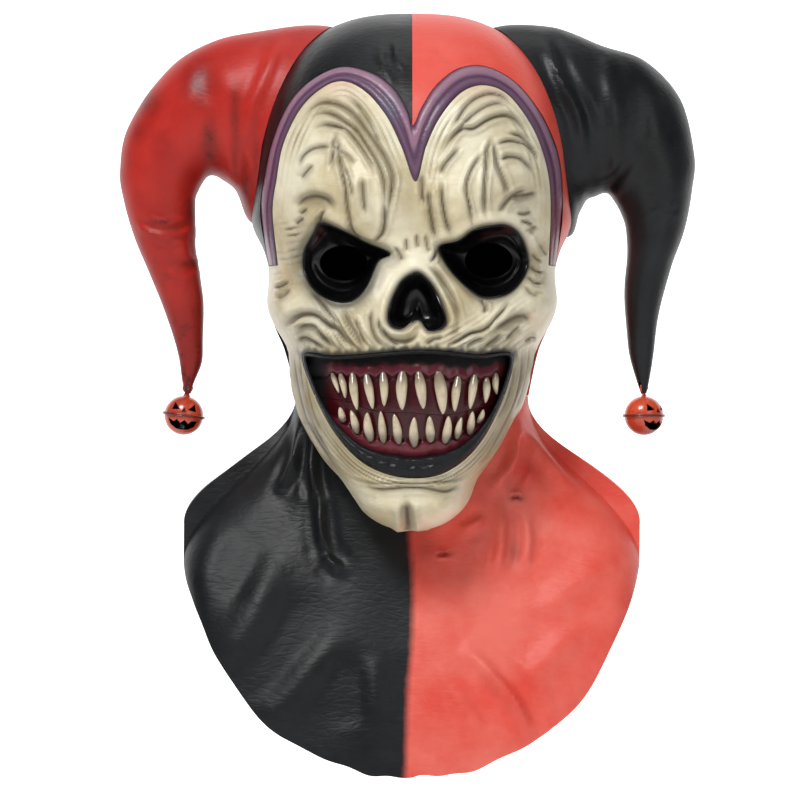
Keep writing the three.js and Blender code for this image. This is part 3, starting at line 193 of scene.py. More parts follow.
# Outlines seen from the front, as shares of FACE_HALF and HEAD_HEIGHT
EYE_LEFT = [
    (-0.612, 0.413), (-0.457, 0.43), (-0.326, 0.449), (-0.151, 0.472), (-0.229, 0.487), (-0.302, 0.533),
    (-0.4, 0.561), (-0.522, 0.563), (-0.65, 0.544), (-0.728, 0.51), (-0.738, 0.47), (-0.672, 0.434),
]
EYE_RIGHT = [
    (0.178, 0.46), (0.309, 0.448), (0.41, 0.428), (0.525, 0.419), (0.653, 0.419), (0.741, 0.441),
    (0.788, 0.487), (0.721, 0.529), (0.617, 0.551), (0.471, 0.555), (0.346, 0.531), (0.232, 0.495),
]
NOSE = [
    (0.055, 0.51), (0.153, 0.542), (0.225, 0.594), (0.2, 0.614), (0.11, 0.618), (0.05, 0.598),
    (-0.01, 0.603), (-0.078, 0.614), (-0.15, 0.607), (-0.16, 0.58), (-0.094, 0.533), (-0.02, 0.513),
]
MOUTH = [
    (-0.744, 0.662), (-0.542, 0.664), (-0.312, 0.661), (0, 0.654), (0.231, 0.656), (0.45, 0.662),
    (0.673, 0.66), (0.65, 0.718), (0.524, 0.801), (0.38, 0.855), (0.2, 0.888), (0, 0.896), (-0.2, 0.886),
    (-0.38, 0.857), (-0.55, 0.8), (-0.68, 0.727),
]
SIGHT_LEFT = (-0.465, 0.488)
SIGHT_RIGHT = (0.52, 0.483)

# Teeth from left to right. Columns: root_x, root, tip_x, tip, wide
UPPER_TEETH = [
    (-0.535, 0.702, -0.495, 0.735, 0.042), (-0.48, 0.704, -0.452, 0.745, 0.05),
    (-0.4, 0.706, -0.372, 0.767, 0.064), (-0.304, 0.708, -0.267, 0.765, 0.066),
    (-0.196, 0.704, -0.19, 0.76, 0.064), (-0.068, 0.704, -0.068, 0.767, 0.083),
    (0.047, 0.704, 0.074, 0.765, 0.079), (0.179, 0.705, 0.206, 0.775, 0.088),
    (0.305, 0.712, 0.285, 0.77, 0.064), (0.416, 0.708, 0.389, 0.765, 0.062),
    (0.5, 0.712, 0.494, 0.754, 0.055), (0.563, 0.702, 0.57, 0.738, 0.05),
]
LOWER_TEETH = [
    (-0.467, 0.787, -0.487, 0.762, 0.055), (-0.379, 0.806, -0.412, 0.768, 0.06),
    (-0.284, 0.82, -0.304, 0.772, 0.07), (-0.196, 0.822, -0.213, 0.77, 0.06),
    (-0.095, 0.824, -0.122, 0.775, 0.066), (0.013, 0.83, 0.013, 0.781, 0.069),
    (0.122, 0.822, 0.115, 0.779, 0.068), (0.223, 0.824, 0.243, 0.779, 0.066),
    (0.304, 0.817, 0.331, 0.781, 0.05), (0.389, 0.808, 0.406, 0.77, 0.058),
    (0.45, 0.789, 0.478, 0.766, 0.048),
]
# Along a tooth from inside the gum to its tip: place, width, thickness
TOOTH_PROFILE = [
    (-0.16, 0.3, 0.3), (-0.08, 0.62, 0.5), (0.05, 0.85, 0.75), (0.25, 1, 1), (0.5, 0.92, 0.95),
    (0.75, 0.68, 0.75), (0.92, 0.38, 0.45), (1, 0.1, 0.12),
]
BITE = [
    (-0.9, 0.74), (-0.5, 0.748), (-0.25, 0.769), (0, 0.773), (0.25, 0.776), (0.5, 0.76), (0.9, 0.745),
]

# The bib's hem, from the middle of the front round the side to the back. Columns: turn, x, fall, forward
HEM = [
    (0, 0, 1, 1), (0.12, 0.26, 0.975, 0.99), (0.22, 0.51, 0.91, 0.94), (0.32, 0.75, 0.78, 0.84),
    (0.41, 0.93, 0.58, 0.62), (0.5, 1, 0.44, 0.2), (0.59, 0.97, 0.5, -0.35), (0.7, 0.8, 0.72, -0.75),
    (0.84, 0.45, 0.93, -0.95), (1, 0, 1, -1),
]
NECK_HOLD = (0.45, 0.38)
HEM_HOLD = (0.3, 0.36)
HEM_LEAN = 0.1

# Wrinkles of the face, each with its depth, its half width and the points that it runs through, in
# millimetres across from the middle and down from the crown. A negative depth stands out as a ridge.
BROW_LINES = [
    (0.9, 1.3, ((-41.6, 56.7), (-33.9, 63.5), (-27.3, 72.9), (-22.7, 82.3), (-19.2, 89.1))),
    (1.7, 1.5, ((-69.5, 72.9), (-64.5, 66), (-57.6, 61.7), (-50.1, 61.7), (-42.6, 64.8), (-35.2, 71),
        (-28.3, 79.8), (-21.4, 89.1), (-15.8, 98.5), (-12.1, 109.1), (-13.3, 119.7), (-15.8, 134.1),
        (-17.3, 145.3))),
    (1.3, 1.3, ((-65.7, 72), (-57.6, 67.9), (-49.5, 69.2), (-40.8, 74.8), (-33.9, 80.4), (-27, 91),
        (-21.4, 100.4), (-17.7, 111), (-17.3, 122.8), (-18.9, 134.1))),
    (1.2, 1.3, ((-62.6, 77.9), (-55.7, 75.4), (-50.1, 76), (-42.6, 77.9), (-37.7, 82.3), (-31.1, 91),
        (-24.5, 101.6), (-19.6, 111))),
    (1, 1.2, ((-71.3, 101.6), (-68.2, 94.7), (-62.6, 90.4), (-55.7, 89.1), (-49.5, 89.8))),
    (0.9, 1.1, ((-46.4, 91), (-40.8, 94.7), (-35.8, 100.4))),
    (1.2, 1.3, ((-47.6, 80.4), (-49.3, 88.5), (-48.9, 91), (-51.4, 105.4))),
    (1.2, 1.3, ((-47.6, 80.4), (-46, 88.5), (-46.4, 91), (-43.6, 105.4), (-41.6, 114.7), (-40.1, 129.1),
        (-35.2, 143.4))),
    (0.9, 1, ((-42.6, 100.4), (-39.5, 110), (-37, 122))),
    (1.2, 1.5, ((-40.1, 129.1), (-37, 140.9), (-31.1, 147.2))),
    (1.1, 1.3, ((-17.3, 122.8), (-17, 134), (-18.9, 143.4), (-24, 149))),
    (1.2, 1.6, ((-31.1, 108.5), (-30.5, 120), (-29.2, 132.2))),
    (1.1, 1.4, ((-69.5, 109.1), (-66, 104.5), (-61.7, 99.7))),
    (1.6, 1.7, ((-72, 126.5), (-67.5, 121.5), (-60.5, 119.5), (-53, 122), (-48.5, 128))),
    (1, 1.2, ((-70.5, 131), (-65.5, 127.5))),
    (1, 1.2, ((-73, 137), (-67.5, 133))),
    (1.6, 1.2, ((-57.9, 139), (-57, 134), (-54.5, 127.4))),
    (1.1, 1.2, ((24.7, 78.5), (28.5, 72), (33.5, 64.2), (40, 58.6), (48.5, 55.7), (57.2, 57.6),
        (62.8, 63.5))),
    (0.9, 1.2, ((23.8, 84.1), (30.4, 76.6), (38.2, 69.2), (46, 63.9), (53.5, 61.7), (59.1, 63.5))),
    (1.5, 1.4, ((17.9, 96), (22.9, 86.3), (30.4, 78.5), (38.2, 77.7), (46, 72.9), (53.5, 69.8),
        (60.9, 69.8), (67.8, 74.8), (73.4, 83.5))),
    (1.1, 1.3, ((17.3, 106.6), (21, 99.7), (30.4, 89.1))),
    (1.2, 1.3, ((59.1, 80.4), (65.9, 81.6), (71.5, 85.4), (76.5, 92.2), (78.4, 98.5))),
    (1, 1.2, ((51.6, 88.2), (59.1, 85.4), (66.6, 86), (72.8, 89.1), (77.2, 96))),
    (1.2, 1.4, ((54.4, 98.5), (59.1, 95.4), (66.6, 96), (71.5, 99.7), (76.5, 105.4))),
    (1.5, 1.2, ((9.8, 114.7), (10.4, 124.7), (12.3, 137.2), (15.4, 149.3))),
    (1.2, 1.2, ((17.9, 110.3), (18.5, 122.8), (21, 135.9), (24.7, 146.5))),
    (1, 1.3, ((5.4, 105.4), (6, 116), (7, 126))),
    (1.3, 1.3, ((49.7, 83.5), (46.6, 92.9), (46, 105.4), (44.7, 121.6), (46, 134.1))),
    (1.2, 1.6, ((49.7, 83.5), (51.6, 92.9), (53.5, 101.6), (58.4, 114.1), (59.1, 118.8))),
    (1, 1.1, ((46, 92.2), (40, 98.5), (35.4, 107.2), (33.5, 116.6), (36, 129.1), (37.2, 139))),
    (1.2, 1.4, ((53.5, 130.3), (59.1, 122.8), (64.7, 117.8), (73.4, 114.7))),
    (1.1, 1.8, ((59.1, 119.7), (69, 119), (78.4, 116.6))),
    (1, 1.1, ((64.7, 130.3), (70, 130.5), (74.7, 128.4))),
    (1, 1.1, ((66.6, 135), (71, 135.6), (76.5, 137.8))),
    (0.9, 1.1, ((70.6, 141.5), (74, 140), (78.4, 137.2))),
]
NOSE_LINES = [
    (0.9, 1, ((-3.3, 145.9), (-3.8, 150), (-3.3, 154.6))),
    (0.9, 1, ((2.9, 143.4), (3, 148), (3.5, 152.8))),
    (0.9, 1, ((8.5, 143.4), (9, 150), (10.4, 155.9))),
    (1, 1.1, ((16, 152.2), (14, 157), (11, 162.1))),
    (1, 1.1, ((-11.4, 150.9), (-8, 156), (-6, 161))),
    (-1.6, 1.9, ((6.7, 165.3), (13.5, 174), (21, 186.5), (24.7, 197.4), (21, 204.6))),
    (1.2, 1.4, ((10.5, 163.3), (17.5, 172), (25.5, 185.5), (29.5, 197.4))),
    (-1.6, 2, ((-14.6, 199.6), (-10.8, 204.6), (-5.2, 205.8), (-0.2, 203.3), (2.9, 197.4))),
    (1.2, 1.4, ((-19.6, 199.6), (-14.8, 208), (-5.2, 210.4), (3, 207))),
]
CHEEK_LINES = [
    (2.4, 1.9, ((49.7, 204.6), (56.6, 199.6), (64.1, 195.2), (69.7, 194.6), (74, 198.3))),
    (1.5, 1.5, ((58.4, 209.6), (62.5, 204.5), (67.5, 200.2))),
    (1.4, 1.2, ((61.6, 185.2), (54.1, 194), (45.3, 202.7), (35.4, 205.8), (27.9, 210.2), (20.4, 213.3))),
    (1.3, 1.3, ((42.2, 184), (45.3, 188.3), (45.3, 193.3))),
    (1.4, 1.4, ((44.1, 214.6), (50, 210), (56.6, 204.6))),
    (1.1, 1.1, ((70, 210.5), (74.5, 208), (79, 208.5))),
    (0.9, 1, ((74.7, 154), (77.5, 158), (81.5, 159.5))),
    (0.9, 1, ((73.7, 162), (77, 166), (82.5, 166.5))),
    (0.9, 1, ((71.7, 169), (76, 173.5), (81.5, 174))),
    (0.9, 1, ((69.7, 176), (74, 180.5), (79.5, 182))),
    (0.8, 1, ((79.7, 148), (82.5, 153), (85.5, 155.5))),
    (2.4, 1.9, ((-81, 200.2), (-75.1, 196.5), (-68.2, 193.3), (-60.7, 194), (-54.5, 198.3),
        (-46.4, 203.3), (-40.8, 209.6), (-34.5, 215.2))),
    (1.6, 1.4, ((-73.8, 204.6), (-67.6, 200.2), (-60.7, 200.8), (-55.7, 206.8), (-48.3, 214.6))),
    (1.4, 1.3, ((-73.2, 210.2), (-67.6, 207.7), (-61.7, 210.2), (-54.5, 214.6))),
    (1.2, 1.1, ((-63.2, 179), (-57.6, 185.2), (-50.8, 194), (-43.9, 201.4))),
    (1.3, 1.2, ((-43.3, 190.8), (-38.9, 199.6), (-34.5, 206.8), (-30.2, 214.6))),
    (1.2, 1.1, ((-36.4, 195.2), (-32.3, 205.2), (-28.3, 213.9))),
    (1.2, 1.2, ((-25.2, 190.2), (-25.8, 198.3), (-23, 208.3), (-17.1, 214.6))),
    (1.1, 1.1, ((-21.4, 195.2), (-19.6, 203.3), (-13, 210.2), (-5.8, 214.6))),
    (1.2, 1.2, ((-87.6, 175.9), (-82, 175.5), (-77, 172.1))),
    (1.1, 1.2, ((-85.1, 183.4), (-80, 181.5), (-76, 177.1))),
    (1, 1.2, ((8, 213), (13, 209.5), (20, 208))),
    (1, 1.1, ((33, 214), (38, 210.5), (45, 208))),
]
JAW_LINES = [
    (1, 1.3, ((-75, 216), (-73.5, 228), (-70.5, 244), (-65, 262), (-54, 280), (-43, 296))),
    (0.9, 1.1, ((-71.5, 216), (-69.5, 232), (-66, 250), (-59, 268), (-49, 284))),
    (0.8, 1, ((-78.5, 222), (-77, 236), (-74, 250), (-69, 264))),
    (0.8, 1, ((-67.5, 226), (-65, 242), (-61, 257), (-54.5, 271))),
    (0.9, 1.2, ((69, 214), (68.5, 228), (65.5, 244), (60, 258), (51, 275), (42, 290))),
    (0.8, 1, ((74, 212), (72.5, 226), (69, 242), (63.5, 256))),
    (0.8, 1, ((78.5, 212), (77, 222), (74, 234))),
    (0.8, 1, ((64.5, 222), (62.5, 236), (58, 250), (51.5, 262))),
    (1.1, 1.6, ((-33.9, 299.4), (-20.5, 302.5), (-5.2, 301.6), (7.3, 301.9), (21, 303.8), (31, 298.5))),
    (0.7, 1.1, ((-39, 296), (-24, 299), (-8, 298.6), (10, 298.6), (26, 297), (37, 292))),
    (3, 2.8, ((-3.6, 311), (-3.2, 318), (-2.1, 330))),
]
# Soft swellings of the face: middle, reach across and down, and height, in millimetres
SWELLS = [
    (-28.3, 134.1, 7, 11, 4), (-62, 112, 9, 7, 1.8), (-61, 124, 9, 5, -2.6), (66, 121, 9, 4.5, -2.2),
    (29, 134, 7, 12, 3.4), (66, 107, 9, 5, 1.3), (-45, 135, 5, 9, 1.2), (54, 140, 12, 6, 1.5),
    (-33.9, 80.4, 3, 3, -1.4), (-78, 187, 10, 8, 4.2), (79, 186, 9, 9, 4.4), (-20, 313, 13, 8, 1.6),
    (17, 313, 13, 8, 1.6), (35, 172, 13, 5, 1.2),
]
# Folds of the horns and of the bib, as depth, half width and points across and down
HORN_FOLDS_LEFT = [
    (2.2, 2, ((-172.2, 131.5), (-167.7, 135.7), (-159.4, 138.2), (-150.4, 138.2), (-141, 134))),
    (1.6, 2.6, ((-157.5, 160), (-148.5, 163.2), (-137, 161.3))),
    (1.4, 3.2, ((-141, 142), (-139, 150), (-139, 158))),
    (-1.5, 3.5, ((-82.6, 14.7), (-92.2, 39), (-102.4, 64.6), (-108.2, 93.4))),
    (1.2, 3, ((-112, 84), (-108, 102), (-103, 120))),
    (-1.5, 5, ((-117, 80), (-116, 96), (-117, 112))),
    (1.3, 6, ((-128, 30), (-130, 46), (-127, 62))),
    (-0.8, 1.4, ((-160.5, 145), (-153, 148), (-146, 147))),
]
HORN_FOLDS_RIGHT = [
    (-1.8, 3, ((83.2, 16.6), (94.7, 45.4), (105.6, 67.8), (109.4, 90))),
    (1.4, 3, ((90, 16), (101, 44), (111, 66), (114, 88))),
    (-1.3, 4, ((122.2, 26.2), (128, 67.8), (129.9, 108.8))),
    (2, 3, ((122.2, 113), (130, 106), (138, 94.1))),
    (1, 1.6, ((151.7, 130.6), (160, 129), (170.2, 124.8))),
    (1.3, 5, ((138, 40), (144, 62), (146, 86))),
    (-1.2, 5, ((112, 98), (116, 110), (118, 122))),
]
BIB_FOLDS = [
    (-2.6, 3.6, ((67.3, 262), (64.1, 280.4), (59.7, 291.1), (52, 303.7))),
    (-1.8, 4, ((69.8, 264), (80.5, 278.5), (90, 290.5), (101, 303))),
    (1.8, 3, ((69, 275), (69, 288), (66, 300))),
    (1.6, 1, ((62.9, 308.1), (66, 308), (69.8, 309.4))),
    (1.6, 1, ((15.6, 344.7), (19, 343.8), (23.8, 344))),
    (-2.4, 3.6, ((54.7, 313.2), (56, 335.2), (53.4, 354.1))),
    (-1.6, 3.6, ((72, 318), (73, 336), (71, 352))),
    (-1.5, 3, ((32, 330), (40, 325), (47, 322))),
    (-2.6, 4.5, ((37, 405.1), (50.3, 419), (64.1, 435.4), (72.3, 453.6))),
    (1.6, 4.5, ((44, 404), (58, 417), (72, 433), (80, 450))),
    (1.4, 5, ((32, 418), (44, 436), (52, 456))),
    (-2.2, 3.4, ((-58.7, 308.4), (-57.5, 330.8), (-54.1, 343.3))),
    (-2.4, 3.6, ((-56, 346), (-50.5, 349.8), (-45, 354))),
    (-1.8, 11, ((-96, 450), (-84.6, 439.2), (-62.5, 415.2), (-38, 390))),
    (-1.8, 12, ((-120, 415), (-108.5, 398.2), (-98, 380), (-80, 352))),
    (-2.2, 3, ((-70.7, 258), (-72, 278.5), (-77, 292.4), (-83, 304))),
    (-2, 3, ((-65, 265.9), (-63.1, 291.1), (-59.4, 310))),
    (1.5, 2.6, ((-68, 262), (-67.5, 284), (-66, 304))),
    (-1.5, 9, ((80, 385), (93.1, 373), (106, 362), (128, 348))),
    (-1.4, 8, ((72, 425), (84, 410), (97, 398), (118, 380))),
    (1.6, 10, ((-100, 330), (-112, 352), (-118, 376))),
    (-1.5, 9, ((-20, 450), (-24, 430), (-26, 405))),
]
HOOD_FOLDS = [
    (-0.9, 2.0, ((-12.0, 28.0), (-10.0, 34.0), (-6.0, 40.0))),
    (0.8, 2.2, ((-16.0, 22.0), (-13.0, 32.0), (-8.0, 42.0))),
    (-0.8, 2.0, ((-22.0, 30.0), (-17.0, 40.0), (-12.0, 50.0))),
    (0.9, 2.6, ((14.0, 26.0), (24.0, 34.0), (36.0, 38.0))),
]
# Cut-through face of a bell, as shares of its radius
BELL_EYES = [
    ((-0.5, 0.62), (-0.2, 0.3), (-0.62, 0.24)),
    ((0.5, 0.62), (0.62, 0.24), (0.2, 0.3)),
    ((0, 0.42), (0.13, 0.17), (-0.13, 0.17)),
]
BELL_GRIN = [
    (-0.76, -0.2), (-0.45, -0.36), (-0.3, -0.22), (-0.1, -0.4), (0.1, -0.22), (0.3, -0.4), (0.45, -0.24),
    (0.76, -0.2), (0.6, -0.52), (0.3, -0.7), (0, -0.74), (-0.3, -0.7), (-0.6, -0.52),
]

# Brown tones of the face with painted shade in its dents, rosy patches, dark smudges on the left horn that
# are partly painted shade in its creases, and painted shade in the bib's dents and slits, in millimetres.
# Columns: middle across, middle down, reach across, reach down, share
TINT_AND_SHADE_SPOTS = [
    (-70, 224, 9, 22, 0.4), (-60, 123, 10, 7, 0.6), (66, 122, 9, 6, 0.5), (-28, 150, 14, 9, 0.5),
    (2, 128, 12, 18, 0.45), (-72, 150, 8, 24, 0.35), (-3, 320, 3, 7, 0.75),
]
BLUSHES = [(50, 50, 26, 10, 1), (-46, 48, 24, 10, 1)]
HORN_SMUDGE_AND_SHADE = [
    (-169, 56, 8, 8, 0.8), (-135, 46, 9, 14, 0.75), (-128, 84, 5, 20, 0.8), (-140, 128, 7, 9, 0.9),
    (-158, 87, 9, 10, 0.35), (-174, 76, 5, 10, 0.4), (-112, 70, 3, 22, 0.75), (-106, 112, 4, 16, 0.9),
    (-99, 98, 3, 24, 0.6), (-141, 160, 7, 4, 0.7), (-158, 176, 4, 12, 0.4), (-150, 226, 5, 8, 0.9),
    (-144, 210, 5, 12, 0.5), (-160, 134, 11, 2, 0.9), (-150, 144, 9, 4, 0.5), (-186, 105, 5, 14, 0.3),
    (-156, 150, 15, 34, 0.5),
]
BIB_DENT_SHADE = [
    (66, 309, 5, 2.2, 0.9), (20, 344.3, 5.5, 2, 0.9), (64, 343, 4, 8, 0.55), (8, 341, 10, 10, 0.5),
    (60, 296, 3, 9, 0.3), (44, 300, 12, 14, 0.25),
]
# Edge between the bib's two colours. Columns: down, across
BIB_SPLIT = [(240, -2), (330, -1.5), (360, 0.5), (396, 0), (426, -2.5), (456, -3.5), (490, -4.5)]

# Sections by step. An eye's cup: share of the way inwards, share of its depth. The nose's pocket: share of
# its outline, share of its depth. The lips: share of their width, share of their rise, share of their recess
CUP_PROFILE = [(0, 0, 0.1), (1, 0.03, 0.2), (2, 0.1, 0.42), (3, 0.28, 0.68), (4, 0.52, 0.84), (5, 0.8, 0.95),
               (6, 1, 1)]
POCKET_PROFILE = [(0, 1, 0.1), (1, 0.96, 0.3), (2, 0.88, 0.6), (3, 0.7, 0.88), (4, 0.4, 0.98), (5, 0.06, 1)]
LIP_SECTION = [
    (0, 0, 0.1, 0), (1, 0.12, 0.75, 0), (2, 0.3, 1, 0), (3, 0.5, 0.9, 0), (4, 0.62, 0.7, 0),
    (5, 0.8, 0.62, 0.02), (6, 0.93, 0.3, 0.25), (7, 1, 0, 1),
]

# Place of the camera in metres
CAMERA_PLACE = (-0.00768, -4.0, -0.24228)
# Its distance from the mask, the width that it sees there and its sensor's width, in millimetres
CAMERA_AWAY = 4000
CAMERA_VIEW = 512
SENSOR = 36
# Lights: name, place and size in metres, power in watts
LIGHTS = (
    ("key", (-0.8, -1.8, 1.9), 0.9, 58),
    ("fill", (1.5, -2.2, 0.3), 1.4, 9),
    ("top", (0.1, 0.3, 1.9), 1.2, 6),
)


def rgb(red, green, blue):
    """Linear colour of a screen colour given from 0 to 255."""
    shares = np.array([red, green, blue]) / 255
    linear = np.where(shares <= 0.04045, shares / 12.92, ((shares + 0.055) / 1.055) ** 2.4)
    return tuple(float(value) for value in linear)


def length_property(name, description, millimetres):
    """A length that a user may change, held in metres."""
    return FloatProperty(name=name, description=description, default=millimetres * MM, min=0, unit="LENGTH",
                         subtype="DISTANCE", precision=4)


def colour_property(name, description, *screen):
    """A colour that a user may change."""
    return FloatVectorProperty(name=name, description=description, default=rgb(*screen), size=3, min=0, max=1,
                               subtype="COLOR")


class MaskSizes(bpy.types.PropertyGroup):
    """Sizes of the mask that can be changed without moving its pieces."""
    rib_rise: length_property("Rib", "How far the purple rib stands above the skin", 3)
    tooth_depth: length_property("Teeth", "Thickness of a tooth, front to back", 6)
    rim_roll: length_property("Rims", "How far the skin rolls in round the eyes and the nose", 2.4)
    wrinkles: FloatProperty(name="Wrinkles", description="Depth of the wrinkles, 1 as in the photograph",
                            default=1, min=0, max=2, subtype="FACTOR")


class MaskColours(bpy.types.PropertyGroup):
    """Colours of the mask's paints."""
    bone: colour_property("Bone", "Skin of the face", 243, 235, 208)
    bone_shade: colour_property("Bone shade", "Darker clouds on the face", 209, 194, 154)
    wash: colour_property("Wash", "Brown wash in the wrinkles", 60, 46, 26)
    red: colour_property("Red", "Hood and bib", 230, 82, 68)
    dark_red: colour_property("Dark red", "Left horn", 172, 33, 26)
    black: colour_property("Black", "Hood, horn and bib", 15, 16, 18)
    purple: colour_property("Purple", "Rib round the face", 104, 66, 100)
    lip: colour_property("Lips", "Lips", 12, 14, 18)
    gum: colour_property("Gums", "Gums", 92, 30, 42)
    ivory: colour_property("Ivory", "Teeth", 217, 201, 173)
    bell: colour_property("Bells", "Paint of the bells", 216, 82, 48)


def smooth_rows(rows, at):
    """Rows of a table at values of its first column.

    Each stretch is the cubic whose slopes at its two rows are those of the lines through their neighbours.
    """
    rows = np.asarray(rows, float)
    places = rows[:, 0]
    at = np.clip(np.asarray(at, float), places[0], places[-1])
    start = np.clip(np.searchsorted(places, at, side="right") - 1, 0, len(places) - 2)
    end = start + 1
    before = np.maximum(start - 1, 0)
    after = np.minimum(start + 2, len(places) - 1)
    span = (places[end] - places[start])[..., None]
    share = (at - places[start])[..., None] / span
    leave = (rows[end] - rows[before]) / (places[end] - places[before])[..., None] * span
    arrive = (rows[after] - rows[start]) / (places[after] - places[start])[..., None] * span
    change = rows[end] - rows[start]
    bend = 3 * change - 2 * leave - arrive + share * (leave + arrive - 2 * change)
    return np.moveaxis(rows[start] + share * (leave + share * bend), -1, 0)


def rows_along(rows, count):
    """A table's columns at evenly spaced places along its rows."""
    counted = [(index, *row) for index, row in enumerate(rows)]
    return smooth_rows(counted, np.linspace(0, len(rows) - 1, count))[1:]


def level(drop):
    """Height of a drop below the crown."""
    return WALL - drop * HEAD_HEIGHT


def drop_at(z):
    return (WALL - z) / HEAD_HEIGHT


def crown(drop, roundness):
    """Roundness of the crown, 0 at its top and 1 where the head is full."""
    left = np.clip(1 - drop / CROWN_DROP, 0, 1)
    return (1 - left ** CROWN_FALL) ** (1 / roundness)


def head_at(drop):
    """Half width of hood and face, reach to the front and the back, edge and lean of the head at a drop."""
    _, hood, face, front, back, side, mid = smooth_rows(HEAD, np.clip(drop, CROWN_DROP, HEAD[-1][0]))
    wide = crown(drop, CROWN_WIDE)
    long = crown(drop, CROWN_LONG)
    return (hood * HOOD_HALF * wide, face * FACE_HALF * wide, front * HEAD_FRONT * long,
            back * HEAD_BACK * long, side * HEAD_FRONT, mid * FACE_HALF)


def relief_at(x, z):
    """Height of the forms: the sum of bells exp(-u*u - v*v), each turned by its lean."""
    total = np.zeros(np.broadcast(x, z).shape)
    for form_x, drop, wide, tall, lean, rise in FORMS:
        across = x - form_x * FACE_HALF
        up = z - level(drop)
        u = (across * math.cos(lean) + up * math.sin(lean)) / (wide * FACE_HALF)
        v = (up * math.cos(lean) - across * math.sin(lean)) / (tall * HEAD_HEIGHT)
        total = total + rise * RELIEF * np.exp(-u * u - v * v)
    return total


def face_y(x, z):
    """Y of the face's skin: a squared arch from edge to edge, plus the relief."""
    _, face, front, _, side, mid = head_at(drop_at(z))
    across = np.clip(np.abs(x - mid) / np.maximum(face, 1), 0, 1)
    arch = (1 - across ** SQUARE) ** (1 / SQUARE)
    return -(side + (front - side) * arch) - relief_at(x, z) * np.minimum(1, arch * 2)


def lining_y(x, z):
    """Y of the mouth's lining behind the face's skin."""
    return face_y(x, z) + GUM_RECESS


def smooth_line(points, steps=5):
    """A line's points joined by a smooth curve."""
    return rows_along(points, (len(points) - 1) * steps + 1).T


def rising(value, soft):
    """Soft step: 0 well below zero and 1 well above it."""
    return 1 / (1 + np.exp(-value / soft))


def hump(value, reach):
    """Bell curve, 1 at zero and nearly 0 past twice its reach."""
    return np.exp(-(value / reach) ** 2)


def spots(x, down, rows):
    """Strongest of the soft spots at each point. A row is a middle, a reach across and down, and a share."""
    found = np.zeros(len(x))
    for mid_x, mid_down, wide, tall, share in rows:
        away = ((x - mid_x) / wide) ** 2 + ((down - mid_down) / tall) ** 2
        found = np.maximum(found, share * np.exp(-away))
    return found


def turns(count):
    """Angles evenly round a circle, from 0."""
    return np.linspace(0, 2 * math.pi, count, endpoint=False)


def near_line(x, down, line, reach):
    """Numbers of the points within reach of the box round a line."""
    low = line.min(0) - reach
    high = line.max(0) + reach
    return np.flatnonzero((x > low[0]) & (x < high[0]) & (down > low[1]) & (down < high[1]))


def segment_distance(x, down, start, end):
    """Distance of points to a straight segment and share of its length at the nearest place."""
    along = end - start
    share = ((x - start[0]) * along[0] + (down - start[1]) * along[1]) / (along[0] ** 2 + along[1] ** 2)
    share = np.clip(share, 0, 1)
    return np.hypot(x - start[0] - share * along[0], down - start[1] - share * along[1]), share


def stroke_distance(x, down, points, reach):
    """Distance to a line and share of its length, for the points of a view that lie within reach of it."""
    line = smooth_line(points)
    near = near_line(x, down, line, reach)
    px = x[near]
    pd = down[near]
    best = np.full(len(near), np.inf)
    share = np.zeros(len(near))
    for index in range(len(line) - 1):
        distance, t = segment_distance(px, pd, line[index], line[index + 1])
        closer = distance < best
        best = np.where(closer, distance, best)
        share = np.where(closer, (index + t) / (len(line) - 1), share)
    return near, best, share


def strokes(x, z, lines, taper):
    """Height and paint of wrinkles.

    A wrinkle is a groove, minus depth times exp(-(d/w)^2) at a distance d, with a low raised shoulder on both
    sides, and it fades out at both ends, faster for a larger taper. Its paint is a narrow dark bell over a
    wide faint one.
    """
    down = WALL - z
    height = np.zeros(len(x))
    paint = np.zeros(len(x))
    for depth, width, points in lines:
        near, distance, share = stroke_distance(x, down, points, 4.5 * width)
        fade = np.clip(taper * np.minimum(share, 1 - share) + 0.6 / taper, 0, 1)
        fade = fade * fade * (3 - 2 * fade)
        shoulder = 0.65 * hump(distance - 2.1 * width, 1.1 * width)
        height[near] += depth * fade * (shoulder - hump(distance, width))
        core = hump(distance, 0.8 * width)
        soft = 0.45 * hump(distance - 0.4 * width, 2.2 * width)
        dark = fade * np.sign(depth) * np.maximum(core, soft) * min(1, abs(depth))
        paint[near] = np.maximum(paint[near], dark)
    return height, paint


def held_in_wall(height):
    """Heights whose grooves level out before they reach the lining."""
    return np.where(height < 0, GROOVE * np.tanh(height / GROOVE), height)


def round_outline(outline, count):
    """Evenly spaced points along a smooth closed curve through an outline held as shares."""
    corners = np.array([(x * FACE_HALF, level(drop)) for x, drop in outline])
    held = np.concatenate([corners[-3:], corners, corners[:3]])
    size = len(held)
    fine = rows_along(held, (size - 1) * 12 + 1).T[36:-24]
    fine = fine[: len(corners) * 12 + 1]
    steps = np.concatenate([[0], np.cumsum(np.hypot(*np.diff(fine, axis=0).T))])
    at = np.linspace(0, steps[-1], count, endpoint=False)
    return np.stack([np.interp(at, steps, fine[:, 0]), np.interp(at, steps, fine[:, 1])], 1)


def offset(points, distance):
    """A closed outline moved outwards by a distance, or inwards where it is negative."""
    ahead = np.roll(points, -1, 0)
    behind = np.roll(points, 1, 0)
    area = np.sum(points[:, 0] * ahead[:, 1] - ahead[:, 0] * points[:, 1])
    along = ahead - behind
    along /= np.linalg.norm(along, axis=1, keepdims=True)
    return points + np.stack([along[:, 1], -along[:, 0]], 1) * np.sign(area) * distance


def outline_distance(x, z, outline, reach):
    """Distance to a closed outline for every point nearer than reach, and reach for the others."""
    points = round_outline(outline, 72)
    near = near_line(x, z, points, reach)
    best = np.full(len(near), float(reach))
    for start, end in zip(points, np.roll(points, -1, 0)):
        best = np.minimum(best, segment_distance(x[near], z[near], start, end)[0])
    found = np.full(len(x), float(reach))
    found[near] = best
    return found


